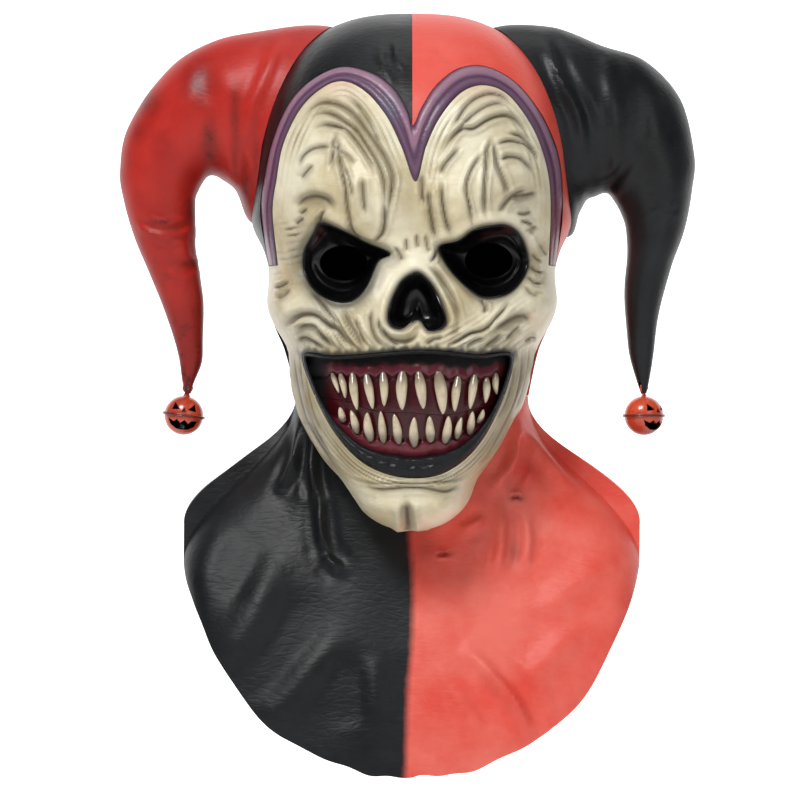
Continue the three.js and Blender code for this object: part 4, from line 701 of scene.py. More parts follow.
def ripples(x, y, z, reach):
    """Slow unevenness of cast latex: a sum of crossed sine waves, from -1 to 1."""
    a = np.sin(x / reach + 1.3 * np.sin(z / (1.7 * reach) + 0.6)) * np.cos(y / (1.2 * reach) + 0.4)
    b = np.sin(z / (0.8 * reach) + 1.1 * np.sin(x / (1.4 * reach) + 2.0) + 0.5 * np.sin(y / reach))
    c = np.sin((x + z) / (0.55 * reach) + np.cos(y / (0.9 * reach)))
    return (a + b + 0.5 * c) / 2.5


def grid_quads(rows, columns, wrap=False):
    """Quads between the neighbours of a grid whose points are numbered row by row."""
    i = np.arange(rows - 1)[:, None]
    j = np.arange(columns if wrap else columns - 1)[None, :]
    a = i * columns + j
    b = i * columns + (j + 1) % columns
    return np.stack([a, b, b + columns, a + columns], -1).reshape(-1, 4)


def outward(points, *blocks):
    """Faces of a closed solid, turned outwards by the sign of its volume."""
    volume = 0
    for block in blocks:
        for corner in range(1, block.shape[1] - 1):
            a, b, c = points[block[:, 0]], points[block[:, corner]], points[block[:, corner + 1]]
            volume += np.einsum("ij,ij->", a, np.cross(b, c))
    return blocks if volume > 0 else tuple(block[:, ::-1] for block in blocks)


def mesh_from(name, points, *blocks):
    """Mesh of a closed solid from its points in millimetres and blocks of faces with equally many corners."""
    points = np.asarray(points, float)
    blocks = outward(points, *[np.asarray(block, np.int32) for block in blocks])
    sizes = np.concatenate([np.full(len(block), block.shape[1]) for block in blocks])
    corners = np.concatenate([block.ravel() for block in blocks])
    starts = np.concatenate([[0], np.cumsum(sizes)[:-1]])
    mesh = bpy.data.meshes.new(name)
    mesh.vertices.add(len(points))
    mesh.vertices.foreach_set("co", (points * MM).astype(np.float32).ravel())
    mesh.loops.add(int(sizes.sum()))
    mesh.loops.foreach_set("vertex_index", corners.astype(np.int32))
    mesh.polygons.add(len(sizes))
    mesh.polygons.foreach_set("loop_start", starts.astype(np.int32))
    mesh.update(calc_edges=True)
    mesh.polygons.foreach_set("use_smooth", np.ones(len(sizes), bool))
    return mesh


def loft(name, rings):
    """Closed solid through rings of equally many points, each end closed by a fan round its middle."""
    rows, size, _ = rings.shape
    points = np.concatenate([rings.reshape(-1, 3), rings[:1].mean(1), rings[-1:].mean(1)])
    i = np.arange(size)
    j = (i + 1) % size
    hub = np.full(size, rows * size)
    last = (rows - 1) * size
    fans = np.concatenate([np.stack([j, i, hub], -1), np.stack([last + i, last + j, hub + 1], -1)])
    return mesh_from(name, points, grid_quads(rows, size, wrap=True), fans)


def ring_tube(name, rings):
    """Closed tube whose rings run round in a loop."""
    rows, size, _ = rings.shape
    quads = grid_quads(rows + 1, size, wrap=True) % (rows * size)
    return mesh_from(name, rings.reshape(-1, 3), quads)


def prism(name, outline, near, far, view="front"):
    """Closed prism of an outline seen from the front (x, z) or from the side (y, z)."""
    outline = np.asarray(outline, float)
    count = len(outline)
    first, second = (0, 1) if view == "front" else (1, 0)
    layers = np.zeros((2, count, 3))
    layers[..., first] = outline[:, 0]
    layers[..., second] = np.array([[near], [far]])
    layers[..., 2] = outline[:, 1]
    caps = np.stack([np.arange(count)[::-1], np.arange(count) + count])
    return mesh_from(name, layers.reshape(-1, 3), grid_quads(2, count, wrap=True), caps)


def carve(mesh, cutters, operation="DIFFERENCE"):
    """The mesh with every cutter taken off it, joined to it or kept in common with it."""
    body = bpy.data.objects.new("work", mesh)
    bpy.context.collection.objects.link(body)
    helpers = []
    for cutter in cutters:
        helper = bpy.data.objects.new("cutter", cutter)
        bpy.context.collection.objects.link(helper)
        helpers.append(helper)
        modifier = body.modifiers.new("cut", "BOOLEAN")
        modifier.operation = operation
        modifier.solver = "MANIFOLD"
        modifier.object = helper
    graph = bpy.context.evaluated_depsgraph_get()
    carved = bpy.data.meshes.new_from_object(body.evaluated_get(graph))
    for helper in [body, *helpers]:
        bpy.data.objects.remove(helper)
    return carved


def read(parts, name, width, kind=np.int32):
    """A property of all the parts of a mesh, as rows of a width."""
    values = np.empty(len(parts) * width, kind)
    parts.foreach_get(name, values)
    return values.reshape(-1, width)


def largest_part(mesh):
    """The mesh without the crumbs that a cut leaves: labels spread along edges until they agree."""
    edges = read(mesh.edges, "vertices", 2)
    labels = np.arange(len(mesh.vertices))
    while True:
        low = np.minimum(labels[edges[:, 0]], labels[edges[:, 1]])
        new = labels.copy()
        np.minimum.at(new, edges[:, 0], low)
        np.minimum.at(new, edges[:, 1], low)
        new = new[new]
        if np.array_equal(new, labels):
            break
        labels = new
    names, sizes = np.unique(labels, return_counts=True)
    keep = labels == names[np.argmax(sizes)]
    if keep.all():
        return mesh
    starts = read(mesh.polygons, "loop_start", 1)[:, 0]
    sizes = read(mesh.polygons, "loop_total", 1)[:, 0]
    corners = read(mesh.loops, "vertex_index", 1)[:, 0]
    number = np.cumsum(keep) - 1
    blocks = []
    for size in np.unique(sizes):
        block = corners[starts[sizes == size][:, None] + np.arange(size)]
        block = block[keep[block[:, 0]]]
        if len(block):
            blocks.append(number[block])
    return mesh_from(mesh.name, points_of(mesh)[keep], *blocks)


def points_of(mesh):
    """Points of a mesh in millimetres."""
    return read(mesh.vertices, "co", 3, np.float32).astype(float) / MM


def seen(mesh):
    """Places across and down of a mesh's points, seen from the front."""
    points = points_of(mesh)
    return points[:, 0], WALL - points[:, 2]


def set_mask(mesh, name, values):
    """A paint mask held at the mesh's points."""
    attribute = mesh.attributes.new(name, "FLOAT", "POINT")
    attribute.data.foreach_set("value", np.clip(values, 0, 1).astype(np.float32))


def set_inside(mesh):
    """Mask of the lining, which gets painted shade: points whose normals look at the mask's upright axis."""
    normals = read(mesh.vertices, "normal", 3, np.float32)
    points = points_of(mesh)
    away = points[:, :2] / np.maximum(np.linalg.norm(points[:, :2], axis=1, keepdims=True), 1)
    set_mask(mesh, "inside", np.sum(away * normals[:, :2], 1) < -0.25)


def grid_normals(grid):
    """Outward normals of a grid of rings from the differences of its neighbours."""
    across = np.roll(grid, -1, 1) - np.roll(grid, 1, 1)
    normals = np.cross(across, np.gradient(grid, axis=0))
    normals /= np.maximum(np.linalg.norm(normals, axis=2, keepdims=True), 1e-9)
    outside = np.sign(np.sum(normals * (grid - grid.mean(1, keepdims=True))))
    return normals * outside


def dressed(rings, height):
    """Rings moved outwards by a height at each point."""
    return rings + grid_normals(rings) * height.reshape(rings.shape[:2])[..., None]


def add_piece(name, mesh, material, slot, *nodes, crease=40):
    """Object of a finished mesh that rides on the mask and stands for its solids."""
    mesh.name = name
    mesh.materials.clear()
    mesh.materials.append(material)
    mesh.polygons.foreach_set("material_index", np.zeros(len(mesh.polygons), np.int32))
    mesh.polygons.foreach_set("use_smooth", np.ones(len(mesh.polygons), bool))
    mesh.set_sharp_from_angle(angle=math.radians(crease))
    piece = bpy.data.objects.new(name, mesh)
    bpy.context.collection.objects.link(piece)
    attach(piece, "root")
    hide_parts(*nodes)
    return piece


def node(tree, kind, inputs=None, **settings):
    """Shader node with its settings and with its inputs set or linked."""
    made = tree.nodes.new(kind)
    for name, value in settings.items():
        setattr(made, name, value)
    for name, value in (inputs or {}).items():
        socket = made.inputs[name]
        if isinstance(value, bpy.types.NodeSocket):
            tree.links.new(value, socket)
        elif isinstance(value, (tuple, list)) and len(value) == 3 and socket.type == "RGBA":
            socket.default_value = (*value, 1)
        else:
            socket.default_value = value
    return made


def times(tree, first, second):
    return node(tree, "ShaderNodeMath", {0: first, 1: second}, operation="MULTIPLY").outputs[0]


def plus(tree, first, second):
    return node(tree, "ShaderNodeMath", {0: first, 1: second}, operation="ADD").outputs[0]


def larger(tree, first, second):
    return node(tree, "ShaderNodeMath", {0: first, 1: second}, operation="MAXIMUM").outputs[0]


def blend(tree, factor, first, second):
    """Colour between two colours by a factor."""
    return node(tree, "ShaderNodeMix", {0: factor, 6: first, 7: second}, data_type="RGBA").outputs[2]


def mask_of(tree, name):
    """Paint mask of the piece's points."""
    return node(tree, "ShaderNodeAttribute", attribute_name=name).outputs["Fac"]


def noise(tree, place, scale, detail, roughness=0.55):
    inputs = {"Vector": place, "Scale": scale, "Detail": detail, "Roughness": roughness}
    return node(tree, "ShaderNodeTexNoise", inputs).outputs["Fac"]


def stretched(tree, place, *scale):
    return node(tree, "ShaderNodeMapping", {"Vector": place, "Scale": scale}).outputs[0]


def span(tree, value, low, high, to_low=0.0, to_high=1.0):
    """A value's stretch from low to high, brought to another stretch and held inside it."""
    inputs = {"Value": value, "From Min": low, "From Max": high, "To Min": to_low, "To Max": to_high}
    return node(tree, "ShaderNodeMapRange", inputs).outputs[0]


def make_group(name, inputs, outputs):
    """Empty node group that takes a place and values and gives values."""
    tree = bpy.data.node_groups.new(name, "ShaderNodeTree")
    tree.interface.new_socket(name="Place", in_out="INPUT", socket_type="NodeSocketVector")
    for labels, way in ((inputs, "INPUT"), (outputs, "OUTPUT")):
        for label in labels:
            tree.interface.new_socket(name=label, in_out=way, socket_type="NodeSocketFloat")
    return tree, tree.nodes.new("NodeGroupInput").outputs, tree.nodes.new("NodeGroupOutput").inputs


def latex_skin_group():
    """Height of cast latex: pores, short crossing wrinkles and slow waves, and a cloud for its paint."""
    tree, given, put = make_group("latex skin", ("Pores", "Wrinkles", "Wave"), ("Height", "Clouds"))
    place = given["Place"]
    bent = node(tree, "ShaderNodeTexNoise", {"Vector": place, "Scale": 28.0, "Detail": 2.0}).outputs["Color"]
    pull = (0.012, 0.012, 0.012)
    pulled = node(tree, "ShaderNodeVectorMath", {0: bent, 1: pull}, operation="MULTIPLY").outputs[0]
    long = stretched(tree, place, 0.55, 1.0, 1.6)
    moved = node(tree, "ShaderNodeVectorMath", {0: long, 1: pulled}, operation="ADD").outputs[0]
    cells = node(tree, "ShaderNodeTexVoronoi", {"Vector": moved, "Scale": 170.0, "Randomness": 1.0},
                 feature="DISTANCE_TO_EDGE").outputs["Distance"]
    total = times(tree, span(tree, cells, 0.0, 0.22), given["Wrinkles"])
    total = plus(tree, total, times(tree, noise(tree, place, 1500.0, 3), given["Pores"]))
    total = plus(tree, total, times(tree, noise(tree, place, 60.0, 3), given["Wave"]))
    tree.links.new(total, put["Height"])
    tree.links.new(noise(tree, place, 22.0, 5, 0.6), put["Clouds"])


def smudge_group():
    """Mask of rubbed paint: broad patches that break up into small dabs."""
    tree, given, put = make_group("smudges", ("Size", "Amount"), ("Mask",))
    broad = noise(tree, given["Place"], given["Size"], 3, 0.6)
    dabs = noise(tree, given["Place"], times(tree, given["Size"], 7.0), 5, 0.65)
    mixed = plus(tree, times(tree, broad, 0.6), times(tree, dabs, 0.4))
    tree.links.new(span(tree, plus(tree, mixed, given["Amount"]), 0.55, 0.72), put["Mask"])


class Finish:
    """A material under way: its tree, the place on the object and its shader."""

    def __init__(self, name, **settings):
        self.material = bpy.data.materials.new(name)
        self.material.use_nodes = True
        self.tree = self.material.node_tree
        self.shader = self.tree.nodes["Principled BSDF"]
        self.place = node(self.tree, "ShaderNodeTexCoord").outputs["Object"]
        for socket, value in settings.items():
            self.shader.inputs[socket.replace("_", " ")].default_value = value

    def feed(self, socket, value):
        self.tree.links.new(value, self.shader.inputs[socket])

    def group(self, name, **inputs):
        """Outputs of a node group at the object's place."""
        group = bpy.data.node_groups[name]
        return node(self.tree, "ShaderNodeGroup", {"Place": self.place, **inputs}, node_tree=group).outputs

    def skin(self, pores, wrinkles, wave):
        return self.group("latex skin", Pores=pores, Wrinkles=wrinkles, Wave=wave)

    def smudges(self, size, amount):
        return self.group("smudges", Size=size, Amount=amount)["Mask"]

    def clouds(self, skin, low, high, first, second):
        """Colour between two paints by the clouds of the skin."""
        return blend(self.tree, span(self.tree, skin["Clouds"], low, high), first, second)

    def over(self, colour, mask, share, *screen):
        """The colour with another painted over it, through a mask by its name or its socket, at a share."""
        if isinstance(mask, str):
            mask = mask_of(self.tree, mask)
        if share != 1:
            mask = times(self.tree, mask, share)
        return blend(self.tree, mask, colour, rgb(*screen))

    def done(self, colour, height, distance):
        """The material with its colour and its bump, whose distance is in millimetres."""
        self.feed("Base Color", colour)
        values = {"Height": height, "Strength": 1.0, "Distance": distance * MM}
        made = node(self.tree, "ShaderNodeBump", values)
        self.feed("Normal", made.outputs["Normal"])
        return self.material


def chosen(name):
    """A colour as the user has set it."""
    return tuple(getattr(bpy.context.scene.mask_colours, name))


def lining(paint, colour):
    """The colour, with nearly black painted shade on the lining where the mask looks inwards."""
    return paint.over(colour, "inside", 1, 16, 15, 15)


def bone_finish():
    """Cream latex with brown wash in its wrinkles, brown tones with painted shade in its hollows, a dark halo
    round the eyes and a rosy blush on top.
    """
    paint = Finish("painted bone latex", Roughness=0.42, Coat_Weight=0.12, Coat_Roughness=0.3)
    tree = paint.tree
    skin = paint.skin(0.12, 0.25, 0.6)
    colour = paint.clouds(skin, 0.38, 0.62, chosen("bone_shade"), chosen("bone"))
    worn = paint.smudges(45.0, 0.02)
    # Brown tones, partly painted shade in the dents and wherever the relief sinks
    tint = times(tree, mask_of(tree, "tint"), span(tree, worn, 0, 1, 0.75, 1.0))
    colour = paint.over(colour, tint, 1, 152, 134, 98)
    colour = paint.over(colour, "blush", 0.5, 222, 180, 158)
    wash = times(tree, mask_of(tree, "wash"), span(tree, worn, 0, 1, 0.82, 1.0))
    colour = blend(tree, wash, colour, chosen("wash"))
    colour = paint.over(colour, "halo", 1, 24, 23, 22)
    paint.feed("Roughness", span(tree, skin["Clouds"], 0.3, 0.7, 0.38, 0.5))
    # Nearly black painted shade on the lining
    return paint.done(lining(paint, colour), skin["Height"], 0.35)


def latex_finish(name, first, second, roughness, wrinkles, bump, soot=None):
    """Coloured latex: two shades in clouds, wrinkles, painted shade on the lining and, where asked, dark
    smudges that are partly painted shade in creases.
    """
    paint = Finish(name, Roughness=roughness, Specular_IOR_Level=0.3, Coat_Weight=0.03, Coat_Roughness=0.3)
    tree = paint.tree
    skin = paint.skin(0.1, wrinkles, 1.0)
    colour = paint.clouds(skin, 0.36, 0.64, first, second)
    if soot:
        # Dark smudges, partly painted shade in the creases of folds
        drawn = mask_of(tree, "soot")
        broken = times(tree, drawn, span(tree, noise(tree, paint.place, 130.0, 5, 0.65), 0.35, 0.62))
        mask = larger(tree, times(tree, paint.smudges(30.0, -0.02), 0.55), broken)
        mask = larger(tree, times(tree, drawn, 0.62), mask)
        colour = blend(tree, mask, colour, soot)
    paint.feed("Roughness", span(tree, skin["Clouds"], 0.3, 0.7, roughness - 0.06, roughness + 0.08))
    return paint.done(lining(paint, colour), skin["Height"], bump)


def bib_finish():
    """Black and red latex that meet in a soft sprayed edge, wrinkled all over."""
    paint = Finish("painted bib latex", Roughness=0.45, Specular_IOR_Level=0.28, Coat_Weight=0.02,
                   Coat_Roughness=0.35)
    tree = paint.tree
    skin = paint.skin(0.1, 0.18, 1.4)
    black = paint.clouds(skin, 0.36, 0.64, chosen("black"), rgb(26, 28, 31))
    red = paint.clouds(skin, 0.36, 0.64, chosen("red"), rgb(238, 114, 100))
    spray = span(tree, noise(tree, paint.place, 160.0, 4), 0, 1, -0.12, 0.12)
    edge = span(tree, plus(tree, mask_of(tree, "red"), spray), 0.15, 0.85)
    # Dark red painted shade in the bib's dents and slits
    colour = paint.over(blend(tree, edge, black, red), "soot", 0.75, 92, 26, 24)
    paint.feed("Roughness", span(tree, skin["Clouds"], 0.3, 0.7, 0.4, 0.52))
    return paint.done(colour, skin["Height"], 0.4)


def rib_finish():
    """Purple latex with painted highlights on its ridges and painted shade in its groove, wine red at its
    right end.
    """
    paint = Finish("painted purple latex", Roughness=0.4, Coat_Weight=0.15, Coat_Roughness=0.3)
    skin = paint.skin(0.1, 0.3, 0.8)
    # Painted shade: darker the lower the section lies, so dark in the groove
    colour = blend(paint.tree, mask_of(paint.tree, "ridge"), rgb(62, 40, 64), chosen("purple"))
    # Painted highlight along the ridges
    colour = paint.over(colour, "lilac", 0.6, 172, 132, 148)
    colour = paint.over(colour, "wine", 0.9, 112, 34, 42)
    colour = paint.over(colour, "grey", 0.6, 92, 96, 112)
    colour = paint.over(colour, paint.smudges(60.0, -0.02), 0.3, 52, 34, 52)
    return paint.done(colour, skin["Height"], 0.35)


def gloss_finish(name, colour, roughness, wrinkles, bump, coat):
    """Glossy paint over latex, with a few soft lumps."""
    paint = Finish(name, Roughness=roughness, Specular_IOR_Level=0.25, Coat_Weight=coat, Coat_Roughness=0.12)
    skin = paint.skin(0.08, wrinkles, 1.0)
    lighter = tuple(min(1, value * 1.9 + 0.004) for value in colour)
    return paint.done(paint.clouds(skin, 0.4, 0.65, colour, lighter), skin["Height"], bump)


def gum_finish():
    """Wet gums: pink on their rolls, nearly black red painted shade in the hollows between the teeth, and
    nearly black painted shadow where the shade mask is set.
    """
    paint = Finish("painted gum latex", Specular_IOR_Level=0.3, Coat_Roughness=0.12)
    tree = paint.tree
    skin = paint.skin(0.1, 0.2, 1.0)
    shade = mask_of(tree, "shade")
    # Painted shade: nearly black red below the rolls, in the hollows between the teeth
    colour = blend(tree, mask_of(tree, "raised"), rgb(70, 12, 20), chosen("gum"))
    colour = paint.over(colour, "pink", 1, 116, 38, 48)
    colour = paint.over(colour, shade, 1, 9, 8, 9)
    paint.feed("Roughness", span(tree, shade, 0, 1, 0.28, 0.75))
    paint.feed("Coat Weight", span(tree, shade, 0, 1, 0.3, 0.0))
    return paint.done(colour, skin["Height"], 0.3)


def tooth_finish():
    """Glossy ivory with brown roots and hairline stains."""
    paint = Finish("ivory teeth", Roughness=0.18, Coat_Weight=0.7, Coat_Roughness=0.06)
    tree = paint.tree
    streaks = stretched(tree, paint.place, 1.0, 1.0, 0.15)
    vein = span(tree, noise(tree, streaks, 420.0, 4, 0.6), 0.5, 0.72)
    colour = blend(tree, times(tree, vein, 0.35), chosen("ivory"), rgb(176, 156, 112))
    speckle = span(tree, noise(tree, paint.place, 160.0, 3), 0.48, 0.62, 0, 0.4)
    colour = paint.over(colour, speckle, 1, 168, 150, 124)
    return paint.done(paint.over(colour, "root", 1, 84, 66, 52), vein, 0.06)


def bell_finish():
    """Orange enamel on sheet metal, rubbed dark in patches."""
    paint = Finish("bell enamel", Roughness=0.28, Coat_Weight=0.5, Coat_Roughness=0.1)
    tree = paint.tree
    skin = paint.skin(0.05, 0.0, 0.6)
    colour = paint.clouds(skin, 0.4, 0.62, chosen("bell"), rgb(182, 60, 40))
    streaks = stretched(tree, paint.place, 1.0, 1.0, 0.3)
    colour = paint.over(colour, span(tree, noise(tree, streaks, 240.0, 5, 0.65), 0.58, 0.7), 0.5, 84, 34, 24)
    colour = paint.over(colour, "rim", 1, 96, 38, 28)
    # Nearly black painted shade inside the bell
    return paint.done(lining(paint, colour), skin["Height"], 0.12)


def steel_finish():
    """Plain zinc-plated steel."""
    paint = Finish("zinc steel", Metallic=1.0, Roughness=0.35)
    tree = paint.tree
    cloud = noise(tree, paint.place, 300.0, 3)
    paint.feed("Base Color", blend(tree, cloud, rgb(96, 97, 100), rgb(128, 130, 134)))
    paint.feed("Roughness", span(tree, cloud, 0.3, 0.7, 0.3, 0.45))
    return paint.material


def superellipse(angle):
    """Across and along a squared circle of radius 1 at an angle from straight ahead."""
    size = (np.abs(np.sin(angle)) ** SQUARE + np.abs(np.cos(angle)) ** SQUARE) ** (-1 / SQUARE)
    return size * np.sin(angle), size * np.cos(angle)


def face_angles(front, back):
    """Angles round the face: many in front and few behind."""
    quarter = math.pi / 2
    behind = np.linspace(quarter, 3 * quarter, back + 2)[1:-1]
    return np.concatenate([np.linspace(-quarter, quarter, front), behind])


def face_rings(rows, angles, inset):
    """Level sections of the face: squared arches with the relief in front, and shallow ones behind."""
    drop = np.linspace(*FACE_SPAN, rows)[:, None]
    _, face, front, _, side, mid = head_at(drop)
    lift = inset * np.clip((drop - JAW_LIFT) / (1 - JAW_LIFT), 0, 1)
    half = np.maximum(face - inset, 1)
    reach = np.maximum(front - side - inset, 1)
    across, along = superellipse(angles[None, :])
    x = mid + across * half
    y = -side - along * np.where(along > 0, reach, JAW_TUCK * HEAD_FRONT)
    z = level(drop) + lift + 0 * x
    y = y - np.where(along > 0, relief_at(x, z) * np.minimum(1, along * 2), 0)
    return np.stack([x, y, z], -1)


def rib_lines(x, down, worn):
    """Fine lines on the forehead that follow the inner edge of the rib."""
    inner = rib_edges(40, 0)[1]
    near, distance, _ = stroke_distance(x, down, np.stack([inner[:, 0], WALL - inner[:, 1]], 1), 22)
    lines = 0.55 * np.cos(2 * math.pi * (distance - 1.2) / 3.5 + 1.1 * np.sin(x[near] / 9))
    found = np.zeros(len(x))
    found[near] = lines * hump(distance - 7, 5) * rising(112 - down[near], 6) * worn[near]
    return found


def muzzle_lines(x, down, worn):
    """Fine lines between the cheeks and the upper lip, slanted away from the nose."""
    left = (24 * x - 17 * down) / 29.4 * 2 * math.pi / 3.2 + 1.5 * np.sin(down / 7 + x / 13)
    right = (28 * x + 42 * down) / 50.5 * 2 * math.pi / 3.2 + 1.5 * np.sin(x / 11 + 1)
    lines = 0.5 * np.where(x < 3, np.cos(left), np.cos(right)) * worn
    lines *= rising(down - 182 - 0.12 * np.abs(x), 3) * rising(215 - down, 1.5)
    return lines * np.clip((np.abs(x - 3) - 12) / 10, 0, 1) * np.clip((78 - np.abs(x)) / 10, 0, 1)


def temple_lines(x, z):
    """Short level creases outside the left eye."""
    down = WALL - z
    lines = np.cos((down - 137) * 2 * math.pi / 4.4 + 0.25 * (x + 75) + 1.6 * ripples(x, 0 * x, z, 5))
    lines *= 0.8 * np.clip(0.35 + ripples(x + 9, 0 * x, z, 3.5), 0, 1) * hump(x + 77, 7)
    return lines * rising(down - 134, 2) * rising(172 - down, 2)


def face_details(x, z):
    """Fine relief of the face and its paints, at points seen from the front.

    The relief is the wrinkles, the soft swellings, a raised rim and an inward roll round each hole, creases
    that follow the lower lip, and fine lines at the rib, the muzzle, the left temple and the jaw.
    """
    sizes = bpy.context.scene.mask_sizes
    roll = sizes.rim_roll / MM
    down = WALL - z
    height, wash = strokes(x, z, BROW_LINES + NOSE_LINES + CHEEK_LINES + JAW_LINES, 3.5)
    height *= 1.6
    wash = np.maximum(wash, 0)
    worn = np.clip(0.55 + 0.9 * ripples(x, 0 * x, z, 9), 0, 1)
    for lines, stain in ((rib_lines(x, down, worn), 1.6), (muzzle_lines(x, down, worn), 1.7),
                         (temple_lines(x, z), 1.6)):
        height += lines
        wash = np.maximum(wash, np.clip(-lines * stain, 0, 0.8))
    for mid_x, mid_down, wide, tall, rise in SWELLS:
        height += rise * np.exp(-((x - mid_x) / wide) ** 2 - ((down - mid_down) / tall) ** 2)
    left_eye = outline_distance(x, z, EYE_LEFT, 24)
    right_eye = outline_distance(x, z, EYE_RIGHT, 24)
    eyes = np.minimum(left_eye, right_eye)
    nose = outline_distance(x, z, NOSE, 24)
    mouth = outline_distance(x, z, MOUTH, 30)
    height += (1.2 + 1.6 * rising(158 - down, 5)) * hump(eyes - 5, 3) - roll * hump(eyes, 2)
    height += 1.5 * hump(nose - 4, 2.2) - roll * 0.7 * hump(nose, 1.5)
    lower = rising(down - 262, 8)
    creases = 0.55 * np.cos(mouth * 2 * math.pi / 2.3) * hump(mouth - 4, 3.5)
    height += lower * creases
    jaw = lower_side(x, down)
    grain = np.clip(np.abs(x) / 60, 0, 1) * jaw
    waves = np.sin(mouth * 2 * math.pi / 2.6 + 0.8 * np.sin(down / 9))
    height += 0.16 * grain * waves
    upper = rising(222 - down, 2) * rising(down - 205, 2)
    dabs = np.clip(0.5 + 0.8 * ripples(x, 0 * x, 0.25 * z, 1.1), 0, 1)
    wash = np.max([
        wash,
        lower * np.clip(-creases * 1.7, 0, 0.85),
        upper * hump(mouth, 2.2) * 0.9,
        upper * dabs * hump(mouth, 5.5) * 0.75,
        0.45 * grain * np.clip(-waves, 0, 1),
        0.8 * hump(nose, 2),
        0.75 * hump(x + 3, 2.4) * rising(down - 312, 1.5),
    ], axis=0)
    halo = np.max([
        0.95 * hump(eyes, 1.6),
        0.75 * hump(left_eye, 6.5) * rising(down - 146 - 0.35 * (x + 40), 6),
        0.5 * hump(right_eye, 4.5) * rising(down - 150, 6),
        0.9 * hump(nose, 1),
        upper * hump(mouth, 1 + 2.4 * dabs),
    ], axis=0)
    # Brown tones, with painted shade in the dents under the brows and wherever the relief sinks below the
    # skin
    tint = np.max([
        spots(x, down, TINT_AND_SHADE_SPOTS),
        jaw * (0.35 + 0.4 * hump(mouth - 5, 7)),
        0.55 * np.clip(-height / 2.2, 0, 1),
    ], axis=0)
    return held_in_wall(height * sizes.wrinkles), wash, halo, tint, spots(x, down, BLUSHES)


def lower_side(x, down):
    """Share of the jaw's sides: 1 beside the mouth below the cheeks and 0 elsewhere."""
    beside = rising(np.abs(x) - 36 + (down - 262) * 0.12, 5)
    return beside * rising(down - 216, 5) * rising(300 - down, 6)


def rib_edges(count, spread):
    """Points of the rib's outer and inner edge, each moved away from the rib by a spread."""
    x_out, out, x_in, inside = rows_along(RIB, count)
    outer = np.stack([x_out * FACE_HALF, level(out)], 1)
    inner = np.stack([x_in * FACE_HALF, level(inside)], 1)
    step = (outer - inner) / np.linalg.norm(outer - inner, axis=1, keepdims=True) * spread
    return outer + step, inner - step


def band_mesh(spread, stations, across):
    """The rib: stations along its edges, a section of two ridges in front and a plain back."""
    rise = bpy.context.scene.mask_sizes.rib_rise / MM
    outer, inner = rib_edges(stations, spread)
    share, tall = smooth_rows(RIB_SECTION, np.linspace(0, 1, across))
    share = share[None, :]
    x = outer[:, :1] + (inner - outer)[:, :1] * share
    z = outer[:, 1:] + (inner - outer)[:, 1:] * share
    y = face_y(x, z)
    front = np.stack([x, y - tall[None, :] * rise - spread, z], -1)
    back = np.stack([x, y + WALL + spread, z], -1)[:, ::-4]
    return loft("band", np.concatenate([front, back], 1))


def above_inner_edge(spread):
    """Region of the front view that the rib and the hood above it take from the face."""
    _, inner = rib_edges(160, spread)
    wide = 2 * HOOD_HALF
    low = inner[-1][1] - spread
    corners = [(inner[-1][0], low), (wide, low), (wide, wide), (-wide, wide), (-wide, low)]
    return np.concatenate([[(inner[0][0], low)], inner, corners])


def below_outer_edge(spread):
    """Region of the front view that the rib and the face below it take from the hood."""
    outer, _ = rib_edges(160, spread)
    low = outer[-1][1] - spread / 2
    return np.concatenate([outer, [(outer[-1][0], low), (outer[0][0], low)]])


def edge_line(distance, top):
    """Line of the side view where the face's edge meets the hood, moved back by a distance."""
    drops = np.array([drop for drop in EDGE_DROPS if drop >= top])
    side = head_at(np.maximum(drops, CROWN_DROP))[4]
    return np.stack([distance - side, level(drops)], 1)


def bib_rings(spread, rows, sides):
    """Rings of the bib.

    Each angle follows a cubic curve from the squared neck, straight down at first, to the hem, where it ends
    nearly straight down again.
    """
    neck = head_at(np.array(NECK_TOP))
    top = level(NECK_TOP) - (0 if spread > 0 else GAP)
    angle = turns(sides)
    turn = np.minimum(angle, 2 * math.pi - angle) / math.pi
    _, hem_x, fall, forward = smooth_rows(HEM, turn)
    sideways = np.where(np.sin(angle) < 0, -1, 1)
    across = np.abs(np.sin(angle)) ** (2 / SQUARE) * sideways
    along = np.sign(np.cos(angle)) * np.abs(np.cos(angle)) ** (2 / SQUARE)
    reach = np.where(along > 0, NECK_FRONT * HEAD_FRONT, neck[3])
    start = np.stack([across * (neck[0] + spread), -along * (reach + spread), np.full(sides, top)], 1)
    drop = np.where(turn < 0.5, BIB_DROP, BACK_DROP)
    reach_out = np.where(forward > 0, CHEST_FRONT, SHOULDER_BACK)
    end = np.stack([sideways * hem_x * (BIB_HALF + spread), -forward * (reach_out + spread),
                    level(NECK_TOP) - fall * (drop - NECK_TOP * HEAD_HEIGHT)], 1)
    wide = np.abs(np.sin(angle)) ** 2
    height = start[:, 2] - end[:, 2]
    first = start.copy()
    first[:, 2] -= height * (NECK_HOLD[0] + (NECK_HOLD[1] - NECK_HOLD[0]) * wide)
    second = end.copy()
    second[:, 2] += height * (HEM_HOLD[0] + (HEM_HOLD[1] - HEM_HOLD[0]) * wide)
    second[:, 1] += (start[:, 1] - end[:, 1]) * HEM_LEAN
    t = np.linspace(0, 1, rows)[:, None, None]
    return (1 - t) ** 3 * start + 3 * t * (1 - t) ** 2 * first + 3 * t * t * (1 - t) * second + t ** 3 * end


